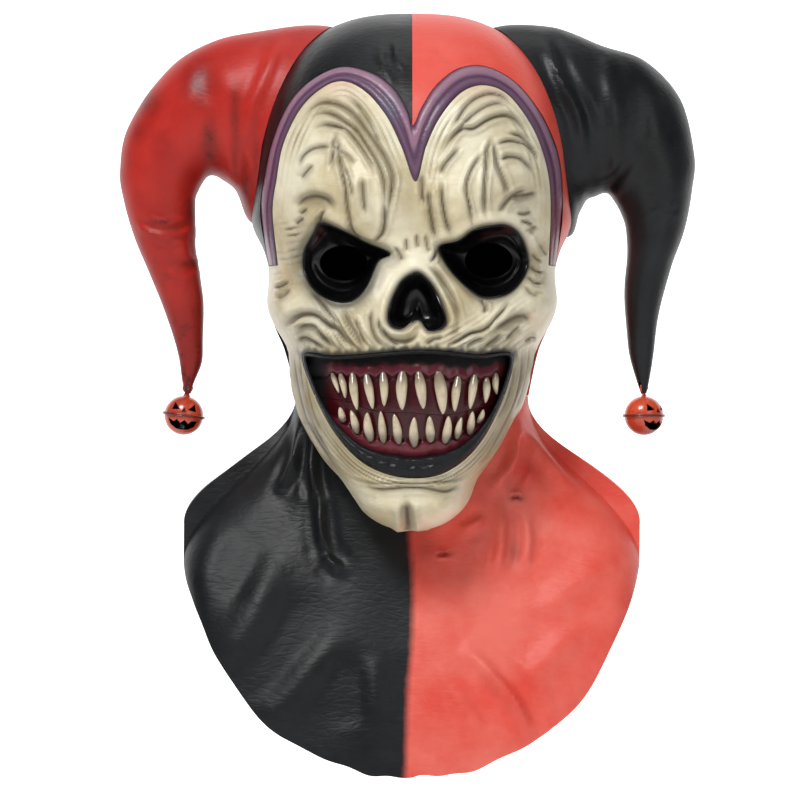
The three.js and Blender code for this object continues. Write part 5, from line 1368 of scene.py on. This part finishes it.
def head_rings(drops, sides, inset):
    """Level sections of the hood's form, moved inwards by an inset."""
    drop = drops[:, None]
    hood, _, front, back, _, _ = head_at(drop)
    last = np.zeros_like(drop)
    if inset > 0:
        last[-1] = WALL
    z = level(drop) - inset * np.maximum(1 - drop / NECK_TOP, 0) ** 0.5 - last
    shrink = inset * crown(drop * 2, CROWN_LONG)
    across, along = superellipse(turns(sides)[None, :])
    x = across * np.maximum(hood - shrink, 0.5)
    y = -along * np.where(along > 0, np.maximum(front - shrink, 0.5), np.maximum(back - shrink, 0.5))
    return np.stack([x, y, z + 0 * x], -1)


def hood_drops(count):
    """Drops whose sections widen evenly from the crown's pole, then follow evenly to the neck."""
    round_part = np.linspace(0.03, 1, count // 2)
    left = (1 - round_part ** CROWN_WIDE) ** (1 / CROWN_FALL)
    straight = np.linspace(CROWN_DROP, NECK_TOP, count - count // 2 + 1)[1:]
    return np.concatenate([CROWN_DROP * (1 - left), straight])


def horn_rings(rows, inset, steps, sides):
    """Rings of a horn, ellipses between its upper and its under side, moved inwards by an inset."""
    x, drop, x_in, inside, depth = rows_along(rows, steps)
    top = np.stack([x * HORN_REACH, 0 * x, WALL - drop * HORN_DROP], 1)
    under = np.stack([x_in * HORN_REACH, 0 * x, WALL - inside * HORN_DROP], 1)
    middle = (top + under) / 2
    radius = top - middle
    length = np.linalg.norm(radius, axis=1, keepdims=True)
    radius *= (length - inset) / length
    reach = depth * HORN_DEPTH / 2 - inset
    angle = turns(sides)[None, :, None]
    rings = middle[:, None] + radius[:, None] * np.cos(angle)
    rings[:, :, 1] -= reach[:, None] * np.sin(angle[..., 0])
    return rings


def horn_hollow(rows):
    """Hollow of a horn, which ends before its tip."""
    return loft("hollow", horn_rings(rows, WALL, 60, 40)[:-9])


def loop_place(rows):
    """Middle of a bell's loop in the tip of its horn."""
    tip_x, drop, tip_in, _, _ = rows[-1]
    return np.array([(tip_x + tip_in) / 2 * HORN_REACH, 0, WALL - drop * HORN_DROP + LOOP_RISE - BELL_CLEAR])


def rod(name, radius, length, sides=32):
    """Closed rod along Y about the origin."""
    angle = turns(sides)
    ring = np.stack([radius * np.cos(angle), 0 * angle, radius * np.sin(angle)], 1)
    return loft(name, np.stack([ring + (0, -length / 2, 0), ring + (0, length / 2, 0)]))


def turned(name, radius, z, sides, flat=1.0):
    """Closed solid of a profile turned round Z, its depth scaled by flat."""
    radius, z, turn = radius[:, None], z[:, None], turns(sides)[None, :]
    return loft(name, np.stack([radius * np.cos(turn), flat * radius * np.sin(turn), z + 0 * turn], -1))


def moved(mesh, turn, place, lean=0.0):
    """A mesh leaned sideways, turned about Z and brought to its place."""
    mesh.transform(Matrix.Rotation(turn, 4, "Z"))
    mesh.transform(Matrix.Rotation(lean, 4, "Y"))
    mesh.transform(Matrix.Translation([value * MM for value in place]))
    return mesh


class MASK_OT_face(bpy.types.Operator):
    """The bone-coloured skin of the face, wrinkled and washed."""
    bl_idname = "mask.face"
    bl_label = "Face"

    def execute(self, context):
        rings = face_rings(320, face_angles(331, 20), 0)
        x, y, z = rings[..., 0].ravel(), rings[..., 1].ravel(), rings[..., 2].ravel()
        ahead = np.clip((-y - head_at(drop_at(z))[4]) / 12, 0, 1)
        mesh = loft("face", dressed(rings, face_details(x, z)[0] * ahead))
        behind = np.concatenate([edge_line(0, 0)[:-1], [(FAR, level(NECK_TOP)), (FAR, FAR), (0, FAR)]])
        cutters = [
            loft("inside", face_rings(60, face_angles(60, 10), WALL)),
            prism("top", above_inner_edge(GAP), -FAR, FAR),
            prism("behind", behind, -FAR, FAR, "side"),
            loft("bib", bib_rings(GAP, 40, 96)),
        ]
        for outline in (EYE_LEFT, EYE_RIGHT, NOSE, MOUTH):
            cutters.append(prism("hole", round_outline(outline, 160), -FAR, -HEAD_FRONT / 4))
        mesh = largest_part(carve(mesh, cutters))
        points = points_of(mesh)
        _, *paints = face_details(points[:, 0], points[:, 2])
        for name, values in zip(("wash", "halo", "tint", "blush"), paints):
            set_mask(mesh, name, values)
        set_inside(mesh)
        add_piece("face_skin", mesh, bone_finish(), "bone_latex", "face", crease=55)
        return {"FINISHED"}


class MASK_OT_band(bpy.types.Operator):
    """The purple rib that runs in two arches round the top of the face."""
    bl_idname = "mask.band"
    bl_label = "Purple rib"

    def execute(self, context):
        stations, across = 260, 25
        mesh = band_mesh(0, stations, across)
        share, tall = smooth_rows(RIB_SECTION, np.linspace(0, 1, across))
        back = share[::-4]
        at = np.concatenate([share, back])
        # Painted shade by the section's height, and a painted highlight along the ridges
        ridge = np.concatenate([tall, np.ones(len(back))])
        lilac = np.exp(-((at - 0.27) / 0.19) ** 4) + 0.3 * hump(at - 0.78, 0.1)
        for name, values in (("ridge", ridge), ("lilac", lilac)):
            set_mask(mesh, name, np.concatenate([np.tile(values, stations), (0, 0)]))
        x, down = seen(mesh)
        set_mask(mesh, "wine", hump(x - 93, 14) * rising(down - 122, 8))
        set_mask(mesh, "grey", spots(x, down, [(-14, 64, 8, 10, 1)]))
        add_piece("brow_rib", mesh, rib_finish(), "purple_latex", "brow_band", crease=50)
        return {"FINISHED"}


class MASK_OT_hood(bpy.types.Operator):
    """The black and the red half of the hood, over the crown and down the back of the head."""
    bl_idname = "mask.hood"
    bl_label = "Hood"

    def execute(self, context):
        rings = head_rings(hood_drops(150), 240, 0)
        x, y, z = rings.reshape(-1, 3).T
        folds, _ = strokes(x, z, HOOD_FOLDS, 3)
        waves = 0.5 * ripples(x, y, z, 17) * np.clip((WALL - z) / 12, 0, 1)
        mesh = loft("hood", dressed(rings, held_in_wall(folds * (y < 0) + waves)))
        before = edge_line(GAP, RIB_END)
        ahead = np.concatenate([[(-FAR, level(RIB_END))], before, [(-FAR, before[-1][1])]])
        cutters = [
            loft("inside", head_rings(hood_drops(50), 80, WALL)),
            prism("rib region", below_outer_edge(GAP), -FAR, 0),
            prism("ahead", ahead, -FAR, FAR, "side"),
        ]
        for rows in (HORN_LEFT, HORN_RIGHT):
            cutters.append(horn_hollow(rows))
        shell = carve(mesh, cutters)
        black = latex_finish("black latex", chosen("black"), rgb(29, 31, 34), 0.38, 0.2, 0.3)
        red = latex_finish("red latex", chosen("red"), rgb(234, 100, 88), 0.42, 0.25, 0.3)
        for name, side, finish, slot in (("left", -1, black, "black_latex"), ("right", 1, red, "red_latex")):
            edge = side * GAP / 8
            outline = [(edge, -FAR), (side * FAR, -FAR), (side * FAR, FAR), (edge, FAR)]
            half = largest_part(carve(shell.copy(), [prism("half", outline, -FAR, FAR)], "INTERSECT"))
            set_inside(half)
            add_piece(f"hood_skin_{name}", half, finish, slot, f"hood_{name}", crease=50)
        return {"FINISHED"}


class MASK_OT_horns(bpy.types.Operator):
    """The two hollow horns."""
    bl_idname = "mask.horns"
    bl_label = "Horns"

    def execute(self, context):
        dark = latex_finish("dark red latex", chosen("dark_red"), rgb(196, 46, 36), 0.42, 0.15, 0.25,
                            rgb(50, 18, 16))
        black = bpy.data.materials["black latex"]
        sides = (
            ("left", HORN_LEFT, HORN_FOLDS_LEFT, 0, dark, "dark_red_latex"),
            ("right", HORN_RIGHT, HORN_FOLDS_RIGHT, BELL_TURN, black, "black_latex"),
        )
        half, top, bottom = HORN_DEPTH / 2, LOOP_RADIUS + GAP, -(LOOP_RISE + LOOP_RADIUS)
        slot_size = LOOP_THICK / 2 + GAP
        for name, rows, folds, turn, finish, slot in sides:
            rings = horn_rings(rows, 0, 150, 96)
            x, y, z = rings.reshape(-1, 3).T
            height = held_in_wall(strokes(x, z, folds, 3)[0] + 0.7 * ripples(x, y, z, 13))
            height *= np.clip((235 - (WALL - z)) / 40, 0, 1)
            away = rings - rings.mean(1, keepdims=True)
            away /= np.linalg.norm(away, axis=2, keepdims=True)
            mesh = loft("horn", rings + away * height.reshape(rings.shape[:2])[..., None])
            outline = [(-half, bottom), (half, bottom), (half, top), (-half, top)]
            place = loop_place(rows)
            cutters = [
                horn_hollow(rows),
                loft("head", head_rings(hood_drops(120), 160, -GAP)),
                band_mesh(GAP, 120, 13),
                moved(prism("slot", outline, -slot_size, slot_size), turn, place),
                moved(rod("bore", PIN_RADIUS + GAP / 8, HORN_DEPTH), turn, place),
            ]
            mesh = largest_part(carve(mesh, cutters))
            if name == "left":
                # Dark smudges, partly painted shade in the creases of the folds, and darker towards the tip
                x, down = seen(mesh)
                set_mask(mesh, "soot", np.maximum(0.9 * rising(down - 190, 16), spots(x, down, HORN_SMUDGE_AND_SHADE)))
            add_piece(f"horn_skin_{name}", mesh, finish, slot, f"horn_{name}", crease=50)
        return {"FINISHED"}


class MASK_OT_bib(bpy.types.Operator):
    """The neck, shoulders, chest and back flap, one skin in two colours."""
    bl_idname = "mask.bib"
    bl_label = "Bib"

    def execute(self, context):
        rows, sides = 165, 320
        rings = bib_rings(0, rows, sides)
        x, y, z = rings.reshape(-1, 3).T
        along = np.linspace(0, 1, rows)[:, None]
        folds = 1.7 * strokes(x, z, BIB_FOLDS, 2.2)[0] * rising(-y, 4)
        height = held_in_wall(folds + 0.9 * ripples(x, y, z, 16)).reshape(rows, sides)
        rings = dressed(rings, height * np.minimum(along * 14, 1))
        turn = turns(sides)[None, :]
        hem = np.sin(11 * turn + 1) + 0.6 * np.sin(23 * turn + 2.2 * np.sin(3 * turn))
        rings[..., 2] += along ** 6 * hem
        inner = (rings - grid_normals(rings) * WALL)[::-2]
        mesh = ring_tube("bib", np.concatenate([rings, inner]))
        x, down = seen(mesh)
        set_mask(mesh, "red", rising(x - smooth_rows(BIB_SPLIT, down)[1], 1.5))
        # Painted shade in the dents and slits of the bib's front
        set_mask(mesh, "soot", spots(x, down, BIB_DENT_SHADE) * (points_of(mesh)[:, 1] < 0))
        add_piece("bib_skin", mesh, bib_finish(), "red_latex", "bib", crease=50)
        return {"FINISHED"}


def cup_skin(rim, middle, steps, inset, extra):
    """Rings of an eye's cup from its rim to the sight hole, behind the cup's front by an extra distance."""
    _, inward, down = smooth_rows(CUP_PROFILE, np.linspace(0, 6, steps))
    inward, down = inward[:, None], down[:, None]
    angle = np.arctan2((rim[:, 1] - middle[1]) / SIGHT_HEIGHT, (rim[:, 0] - middle[0]) / SIGHT_WIDTH)
    hole_x = middle[0] + np.cos(angle) * (SIGHT_WIDTH / 2 + extra)
    hole_z = middle[1] + np.sin(angle) * (SIGHT_HEIGHT / 2 + extra)
    thin = inset * np.clip(0.25 + 2.2 * (down - 0.1), 0, 1)
    from_x = rim[:, 0] - (rim[:, 0] - middle[0]) * thin
    from_z = rim[:, 1] - (rim[:, 1] - middle[1]) * thin
    lid = 1.6 * hump(inward - 0.55, 0.16) * np.maximum(-np.sin(angle), 0) ** 0.7
    rim_y = face_y(rim[:, 0], rim[:, 1])
    floor = face_y(middle[0], middle[1]) + SOCKET_DEPTH
    y = rim_y + (floor - rim_y) * down + extra * (down > 0.11) - lid * (extra == 0)
    return np.stack([from_x + (hole_x - from_x) * inward, y, from_z + (hole_z - from_z) * inward], -1)


def pocket_skin(rim, steps, inset, extra):
    """Rings of the nose's pocket from its rim to its floor, moved back by an extra distance."""
    middle = rim.mean(0)
    deepest = face_y(middle[0], middle[1]) + NOSE_DEPTH
    _, size, down = smooth_rows(POCKET_PROFILE, np.linspace(0, 5, steps))
    scale = (size * (1 - inset * np.clip(0.25 + 2.5 * (down - 0.1), 0, 1)))[:, None]
    x = middle[0] + (rim[:, 0] - middle[0]) * scale
    z = middle[1] + (rim[:, 1] - middle[1]) * scale
    rim_y = face_y(rim[:, 0], rim[:, 1])
    septum = 5 * hump(x - 3.2, 1.6) * rising(level(0.585) - z, 3) * (extra == 0)
    depth = down[:, None] + 0 * x
    y = rim_y + (deepest - rim_y) * depth + extra * (depth > 0.11)
    return np.stack([x, y - septum * np.clip(depth * 1.4 - 0.3, 0, 1), z], -1)


class MASK_OT_sockets(bpy.types.Operator):
    """The glossy black cups behind the eyes and the pocket behind the nose hole."""
    bl_idname = "mask.sockets"
    bl_label = "Eyes and nose"

    def execute(self, context):
        gloss = gloss_finish("socket gloss", rgb(4, 4, 5), 0.3, 0.0, 0.4, 0.25)
        inset = SOCKET_WALL / (SIGHT_WIDTH / 2 + SOCKET_WALL)
        for name, outline, sight in (("left", EYE_LEFT, SIGHT_LEFT), ("right", EYE_RIGHT, SIGHT_RIGHT)):
            middle = np.array([sight[0] * FACE_HALF, level(sight[1])])
            rim = offset(round_outline(outline, 128), -GAP)
            back = cup_skin(rim, middle, 14, 0, SOCKET_WALL)
            mesh = ring_tube("socket", np.concatenate([back, cup_skin(rim, middle, 40, inset, 0)[::-1]]))
            add_piece(f"eye_cup_{name}", mesh, gloss, "socket_gloss", f"eye_socket_{name}", crease=60)
        rim = offset(round_outline(NOSE, 128), -GAP)
        rings = np.concatenate([pocket_skin(rim, 12, 0, SOCKET_WALL)[::-1], pocket_skin(rim, 30, 0.16, 0)])
        add_piece("nose_pocket", loft("pocket", rings), gloss, "socket_gloss", "nose_cavity", crease=60)
        return {"FINISHED"}


def lip_rings():
    """Rings of the lips round the mouth, narrow above and broad and creased below."""
    edge = offset(round_outline(MOUTH, 420), -GAP)
    along = np.roll(edge, -1, 0) - np.roll(edge, 1, 0)
    along /= np.linalg.norm(along, axis=1, keepdims=True)
    inward = np.stack([along[:, 1], -along[:, 0]], 1)
    centre = np.array([0, level(0.75)])
    inward *= np.where(np.sum(inward * (centre - edge), 1) < 0, -1, 1)[:, None]
    lower = np.clip((drop_at(edge[:, 1]) - 0.72) / (0.89 - 0.72), 0, 1)[:, None] ** 2.4
    width = FACE_HALF * (LIP_NARROW + (LIP_BROAD - LIP_NARROW) * lower)
    _, share, rise, deep = smooth_rows(LIP_SECTION, np.linspace(0, 7, 26))
    share = np.append(share, [0.6, 0])[None, :]
    rise = np.append(rise, [0, 0])[None, :]
    deep = np.append(deep, [1, 0.35])[None, :]
    x = edge[:, :1] + inward[:, :1] * width * share
    z = edge[:, 1:] + inward[:, 1:] * width * share
    steps = np.arange(len(edge))[:, None]
    wrinkle = np.sin(steps * 0.52 + 1.4 * np.sin(steps * 0.11) + 2.2 * share) * np.sin(steps * 0.19 + 0.7)
    bumps = 0.4 * wrinkle * np.clip(rise, 0, 1) - 0.9 * hump(share - 0.56, 0.1)
    y = face_y(x, z) - rise * LIP_RISE + deep * (GUM_RECESS - 2.4) - bumps * lower * (deep < 0.3)
    return np.stack([x, y, z], -1)


def over_teeth(x, teeth):
    """How far points lie over each tooth, the height of each tooth's root, and that height at the points."""
    root_x = np.array([tooth[0] for tooth in teeth]) * FACE_HALF
    root_z = np.array([level(tooth[1]) for tooth in teeth])
    humps = [hump(x - middle, tooth[4] * FACE_HALF / 2 * 1.25) for middle, tooth in zip(root_x, teeth)]
    return humps, root_z, np.interp(x, root_x, root_z)


def gum_rings(teeth, up):
    """Sections of a gum: a flat floor, and a roll that arches and swells over every tooth."""
    x = np.linspace(-0.78, 0.78, 240)[None, :] * FACE_HALF
    bite_drop = [(share * FACE_HALF, level(drop)) for share, drop in BITE]
    bite = smooth_rows(bite_drop, x[0])[1][None, :] + up * GAP / 2
    end = level(0.645) if up > 0 else level(0.905)
    z = end + (bite - end) * np.linspace(0, 1, 70)[:, None]
    x = x + 0 * z
    humps, root_z, margin = over_teeth(x, teeth)
    swell = sum(1.5 * over * hump(z - tooth_z - up * 4.5, 5.5) for over, tooth_z in zip(humps, root_z))
    roll = rising(up * (z - margin) + GUM_LEAST - GUM_ARCH * np.max(humps, axis=0), 0.55)
    front = np.stack([x, lining_y(x, z) + 2.0 - 3.2 * roll - swell * roll, z], -1)
    back = np.stack([x, lining_y(x, z) + WALL + 2.2, z], -1)[:, ::-6]
    return np.concatenate([front, back], 1)


class MASK_OT_mouth(bpy.types.Operator):
    """The black lips and the gums behind the teeth."""
    bl_idname = "mask.mouth"
    bl_label = "Lips and gums"

    def execute(self, context):
        shine = gloss_finish("lip gloss", chosen("lip"), 0.45, 0.5, 0.45, 0.08)
        add_piece("lip_ring", ring_tube("lips", lip_rings()), shine, "lip_latex", "lips", crease=60)
        wet = gum_finish()
        region = prism("region", offset(round_outline(MOUTH, 200), -1.2), -2 * HEAD_FRONT, 0)
        for name, teeth, up in (("upper", UPPER_TEETH, 1), ("lower", LOWER_TEETH, -1)):
            mesh = largest_part(carve(loft("gum", gum_rings(teeth, up)), [region], "INTERSECT"))
            points = points_of(mesh)
            x, z = points[:, 0], points[:, 2]
            humps, _, margin = over_teeth(x, teeth)
            arch = np.max(humps, axis=0)
            past = up * (z - margin) + GUM_LEAST - GUM_ARCH * arch
            # Off the roll the gum gets painted shade
            set_mask(mesh, "raised", rising(past, 0.9))
            set_mask(mesh, "pink", np.clip((past - 0.5) / 4, 0, 1) * (0.9 if up < 0 else 0.12))
            dark_from = 6 + 2.5 * arch if up > 0 else 9
            ends = np.maximum(rising(-x - 53, 1.2), rising(x - 56, 1.2))
            set_mask(mesh, "shade", np.maximum(rising(up * (z - margin) - dark_from, 0.6), ends))
            add_piece(f"gum_flesh_{name}", mesh, wet, "gum_latex", f"gum_{name}", crease=60)
        return {"FINISHED"}


class MASK_OT_teeth(bpy.types.Operator):
    """Twelve upper and eleven lower teeth, slender and pointed."""
    bl_idname = "mask.teeth"
    bl_label = "Teeth"

    def execute(self, context):
        thickness = context.scene.mask_sizes.tooth_depth / MM
        ivory = tooth_finish()
        rows, sides = 30, 22
        at, across, thick = smooth_rows(TOOTH_PROFILE, np.linspace(-0.16, 1, rows))
        angle = turns(sides)[None, :]
        ridge = 0.9 + 0.04 * np.cos(2 * angle)
        arc = np.sin(math.pi * np.clip(at, 0, 1))
        root_mask = np.append(np.repeat(0.75 * rising(0.2 - at, 0.09), sides), [1, 0])
        for row, teeth in (("upper", UPPER_TEETH), ("lower", LOWER_TEETH)):
            for index, (root_x, root, tip_x, tip, wide) in enumerate(teeth):
                x = (root_x + (tip_x - root_x) * at) * FACE_HALF + 0.5 * math.sin(index * 2.1) * arc
                z = level(root + (tip - root) * at)
                half = (wide * FACE_HALF / 2 * across)[:, None] * ridge
                deep = (thickness / 2 * thick)[:, None] * ridge
                y = lining_y(x, z) + 1.2 - thickness / 2 * 1.1 - 0.6 * arc
                rings = np.stack([x[:, None] + half * np.cos(angle), y[:, None] + deep * np.sin(angle),
                                  z[:, None] + 0 * angle], -1)
                mesh = loft("tooth", rings)
                set_mask(mesh, "root", root_mask)
                number = f"{index + 1:02d}"
                add_piece(f"tooth_{row}_{number}", mesh, ivory, "teeth", f"{row}_tooth_{number}", crease=80)
        return {"FINISHED"}


def bell_bowl(up):
    """Half shell of a bell: a profile from its inner pole over the flange to its outer pole, turned round."""
    inner = BELL_RADIUS - BELL_WALL
    start = GAP / 12
    pole = math.radians(89.6)
    angle = np.linspace(pole, math.asin(start / inner), 20)
    profile = [np.stack([inner * np.cos(angle), inner * np.sin(angle)], 1)]
    half = FLANGE_HEIGHT / 2
    rim = BELL_RADIUS + FLANGE_WIDTH - half
    round_edge = np.linspace(-math.pi / 2, math.pi / 2, 7)
    profile.append(np.stack([rim + half * np.cos(round_edge), start + half + half * np.sin(round_edge)], 1))
    angle = np.linspace(math.asin((start + FLANGE_HEIGHT + 0.15) / BELL_RADIUS), pole, 26)
    profile.append(np.stack([BELL_RADIUS * np.cos(angle), BELL_RADIUS * np.sin(angle)], 1))
    radius, z = np.concatenate(profile).T
    return turned("bell", radius, up * z, 96)


def bell_half(up, outlines):
    """Half shell of a bell with the holes of its face, in its place below the loop."""
    cuts = [prism("cut", np.array(outline) * BELL_RADIUS, -2 * BELL_RADIUS, -BELL_RADIUS * 0.3)
            for outline in outlines]
    half = carve(bell_bowl(up), cuts)
    half.transform(Matrix.Translation((0, 0, BELL_MIDDLE * MM)))
    return half


def bell_loop():
    """Loop of a bell and the foot that joins it to the cap."""
    thick = (LOOP_RADIUS - LOOP_HOLE) / 2
    around = turns(48)[:, None]
    section = turns(16)[None, :]
    radius = LOOP_HOLE + thick + thick * np.cos(section)
    loop = ring_tube("loop", np.stack([radius * np.cos(around), LOOP_THICK / 2 * np.sin(section) + 0 * around,
                                       radius * np.sin(around)], -1))
    height = np.linspace(-LOOP_RISE - 0.7, -LOOP_RADIUS + 0.6, 6)
    foot = turned("foot", 1.5 + 1.2 * np.linspace(1, 0, 6) ** 2, height, 24, LOOP_THICK / 3)
    return [loop, foot]


class MASK_OT_bells(bpy.types.Operator):
    """The bells that hang in the horns' tips, with their faces cut through, their peas and their pins."""
    bl_idname = "mask.bells"
    bl_label = "Bells"

    def execute(self, context):
        enamel = bell_finish()
        steel = steel_finish()
        angle = np.linspace(0.02, math.pi - 0.02, 24)
        rest = BELL_MIDDLE - (BELL_RADIUS - BELL_WALL - PEA_RADIUS - PEA_CLEAR)
        sides = (("left", HORN_LEFT, BELL_TILT, 0), ("right", HORN_RIGHT, 0, BELL_TURN))
        for name, rows, lean, turn in sides:
            cap = largest_part(carve(bell_half(1, BELL_EYES), bell_loop(), "UNION"))
            base = bell_half(-1, [BELL_GRIN])
            for half in (cap, base):
                points = points_of(half)
                away = np.linalg.norm(points - (0, 0, BELL_MIDDLE), axis=1)
                # The bell's inside gets nearly black painted shade
                set_mask(half, "inside", away < BELL_RADIUS - BELL_WALL / 2)
                set_mask(half, "rim", 0.8 * (np.linalg.norm(points[:, :2], axis=1) > BELL_RADIUS + 0.3))
            pea = turned("pea", PEA_RADIUS * np.sin(angle), PEA_RADIUS * np.cos(angle) + rest, 36)
            parts = (("cap", cap, enamel, "bell_paint"), ("base", base, enamel, "bell_paint"),
                     ("pea", pea, steel, "steel"))
            for part, mesh, finish, slot in parts:
                mesh = moved(mesh, turn, loop_place(rows), lean)
                add_piece(f"bell_{name}_{part}", mesh, finish, slot, f"bell_{part}_{name}", crease=35)
            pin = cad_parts[f"bell_pin_{name}"]
            pin.data.materials.clear()
            pin.data.materials.append(steel)
        return {"FINISHED"}


def add_backdrop(scene):
    """White paper whose floor bends up into a wall and which glows from a little way behind the mask."""
    floor, wall, bend = -0.62, 5.2, 1.6
    arc = np.linspace(0, math.pi / 2, 24)
    y = np.concatenate([[-6.0], wall - bend + bend * np.sin(arc), [wall]])
    z = np.concatenate([[floor], floor + bend - bend * np.cos(arc), [6.0]])
    x = np.linspace(-9, 9, 9)[:, None]
    sheet = np.stack([x + 0 * y, y + 0 * x, z + 0 * x], -1)
    mesh = bpy.data.meshes.new("backdrop")
    mesh.from_pydata(sheet.reshape(-1, 3).tolist(), [], grid_quads(*sheet.shape[:2]).tolist())
    mesh.polygons.foreach_set("use_smooth", np.ones(len(mesh.polygons), bool))
    backdrop = bpy.data.objects.new("backdrop", mesh)
    scene.collection.objects.link(backdrop)
    paper = Finish("white paper", Roughness=0.9, Emission_Color=(1, 1, 1, 1))
    cloud = noise(paper.tree, paper.place, 3.0, 2)
    paper.feed("Base Color", blend(paper.tree, cloud, rgb(250, 250, 250), rgb(255, 255, 255)))
    depth = node(paper.tree, "ShaderNodeSeparateXYZ", {0: paper.place}).outputs["Y"]
    paper.feed("Emission Strength", span(paper.tree, depth, 0.4, 1.6, 0.0, 0.9))
    mesh.materials.append(paper.material)


def add_light(scene, name, place, size, power):
    """Square light that looks at the mask."""
    data = bpy.data.lights.new(name, "AREA")
    data.shape = "SQUARE"
    data.size = size
    data.energy = power
    light = bpy.data.objects.new(name, data)
    light.location = place
    way = np.array([0, 0, -0.2]) - np.array(place)
    tilt = math.atan2(math.hypot(way[0], way[1]), -way[2])
    light.rotation_euler = (tilt, 0, math.atan2(way[1], way[0]) - math.pi / 2)
    scene.collection.objects.link(light)


class MASK_OT_stage(bpy.types.Operator):
    """Pale floor that curves up behind the mask, soft studio lights and the camera."""
    bl_idname = "mask.stage"
    bl_label = "Stage"

    def execute(self, context):
        scene = context.scene
        camera_data = bpy.data.cameras.new("camera")
        camera_data.sensor_width = SENSOR
        camera_data.lens = SENSOR * CAMERA_AWAY / CAMERA_VIEW
        camera = bpy.data.objects.new("camera", camera_data)
        camera.location = CAMERA_PLACE
        camera.rotation_euler = (math.pi / 2, 0, 0)
        scene.collection.objects.link(camera)
        scene.camera = camera
        add_backdrop(scene)
        world = bpy.data.worlds.new("soft light")
        world.use_nodes = True
        background = world.node_tree.nodes["Background"]
        background.inputs["Color"].default_value = (1, 1, 1, 1)
        background.inputs["Strength"].default_value = 0.15
        scene.world = world
        for name, place, size, power in LIGHTS:
            add_light(scene, name, place, size, power)
        scene.view_settings.view_transform = "Standard"
        return {"FINISHED"}


OPERATORS = (MASK_OT_stage, MASK_OT_face, MASK_OT_band, MASK_OT_hood, MASK_OT_horns, MASK_OT_bib,
             MASK_OT_sockets, MASK_OT_mouth, MASK_OT_teeth, MASK_OT_bells)


class MASK_PT_panel(bpy.types.Panel):
    """Sizes, colours and pieces of the mask."""
    bl_idname = "MASK_PT_panel"
    bl_label = "Jester mask"
    bl_space_type = "VIEW_3D"
    bl_region_type = "UI"
    bl_category = "Jester mask"

    def draw(self, context):
        for group in (context.scene.mask_sizes, context.scene.mask_colours):
            box = self.layout.box()
            for name in group.bl_rna.properties.keys():
                if name not in ("rna_type", "name"):
                    box.prop(group, name)
        for operator in OPERATORS:
            self.layout.operator(operator.bl_idname)


CLASSES = (MaskSizes, MaskColours, *OPERATORS, MASK_PT_panel)


def register():
    for kind in CLASSES:
        bpy.utils.register_class(kind)
    bpy.types.Scene.mask_sizes = PointerProperty(type=MaskSizes)
    bpy.types.Scene.mask_colours = PointerProperty(type=MaskColours)


def unregister():
    del bpy.types.Scene.mask_sizes
    del bpy.types.Scene.mask_colours
    for kind in reversed(CLASSES):
        bpy.utils.unregister_class(kind)


def main():
    register()
    latex_skin_group()
    smudge_group()
    for operator in OPERATORS:
        family, name = operator.bl_idname.split(".")
        getattr(getattr(bpy.ops, family), name)()


if __name__ == "__main__":
    main()
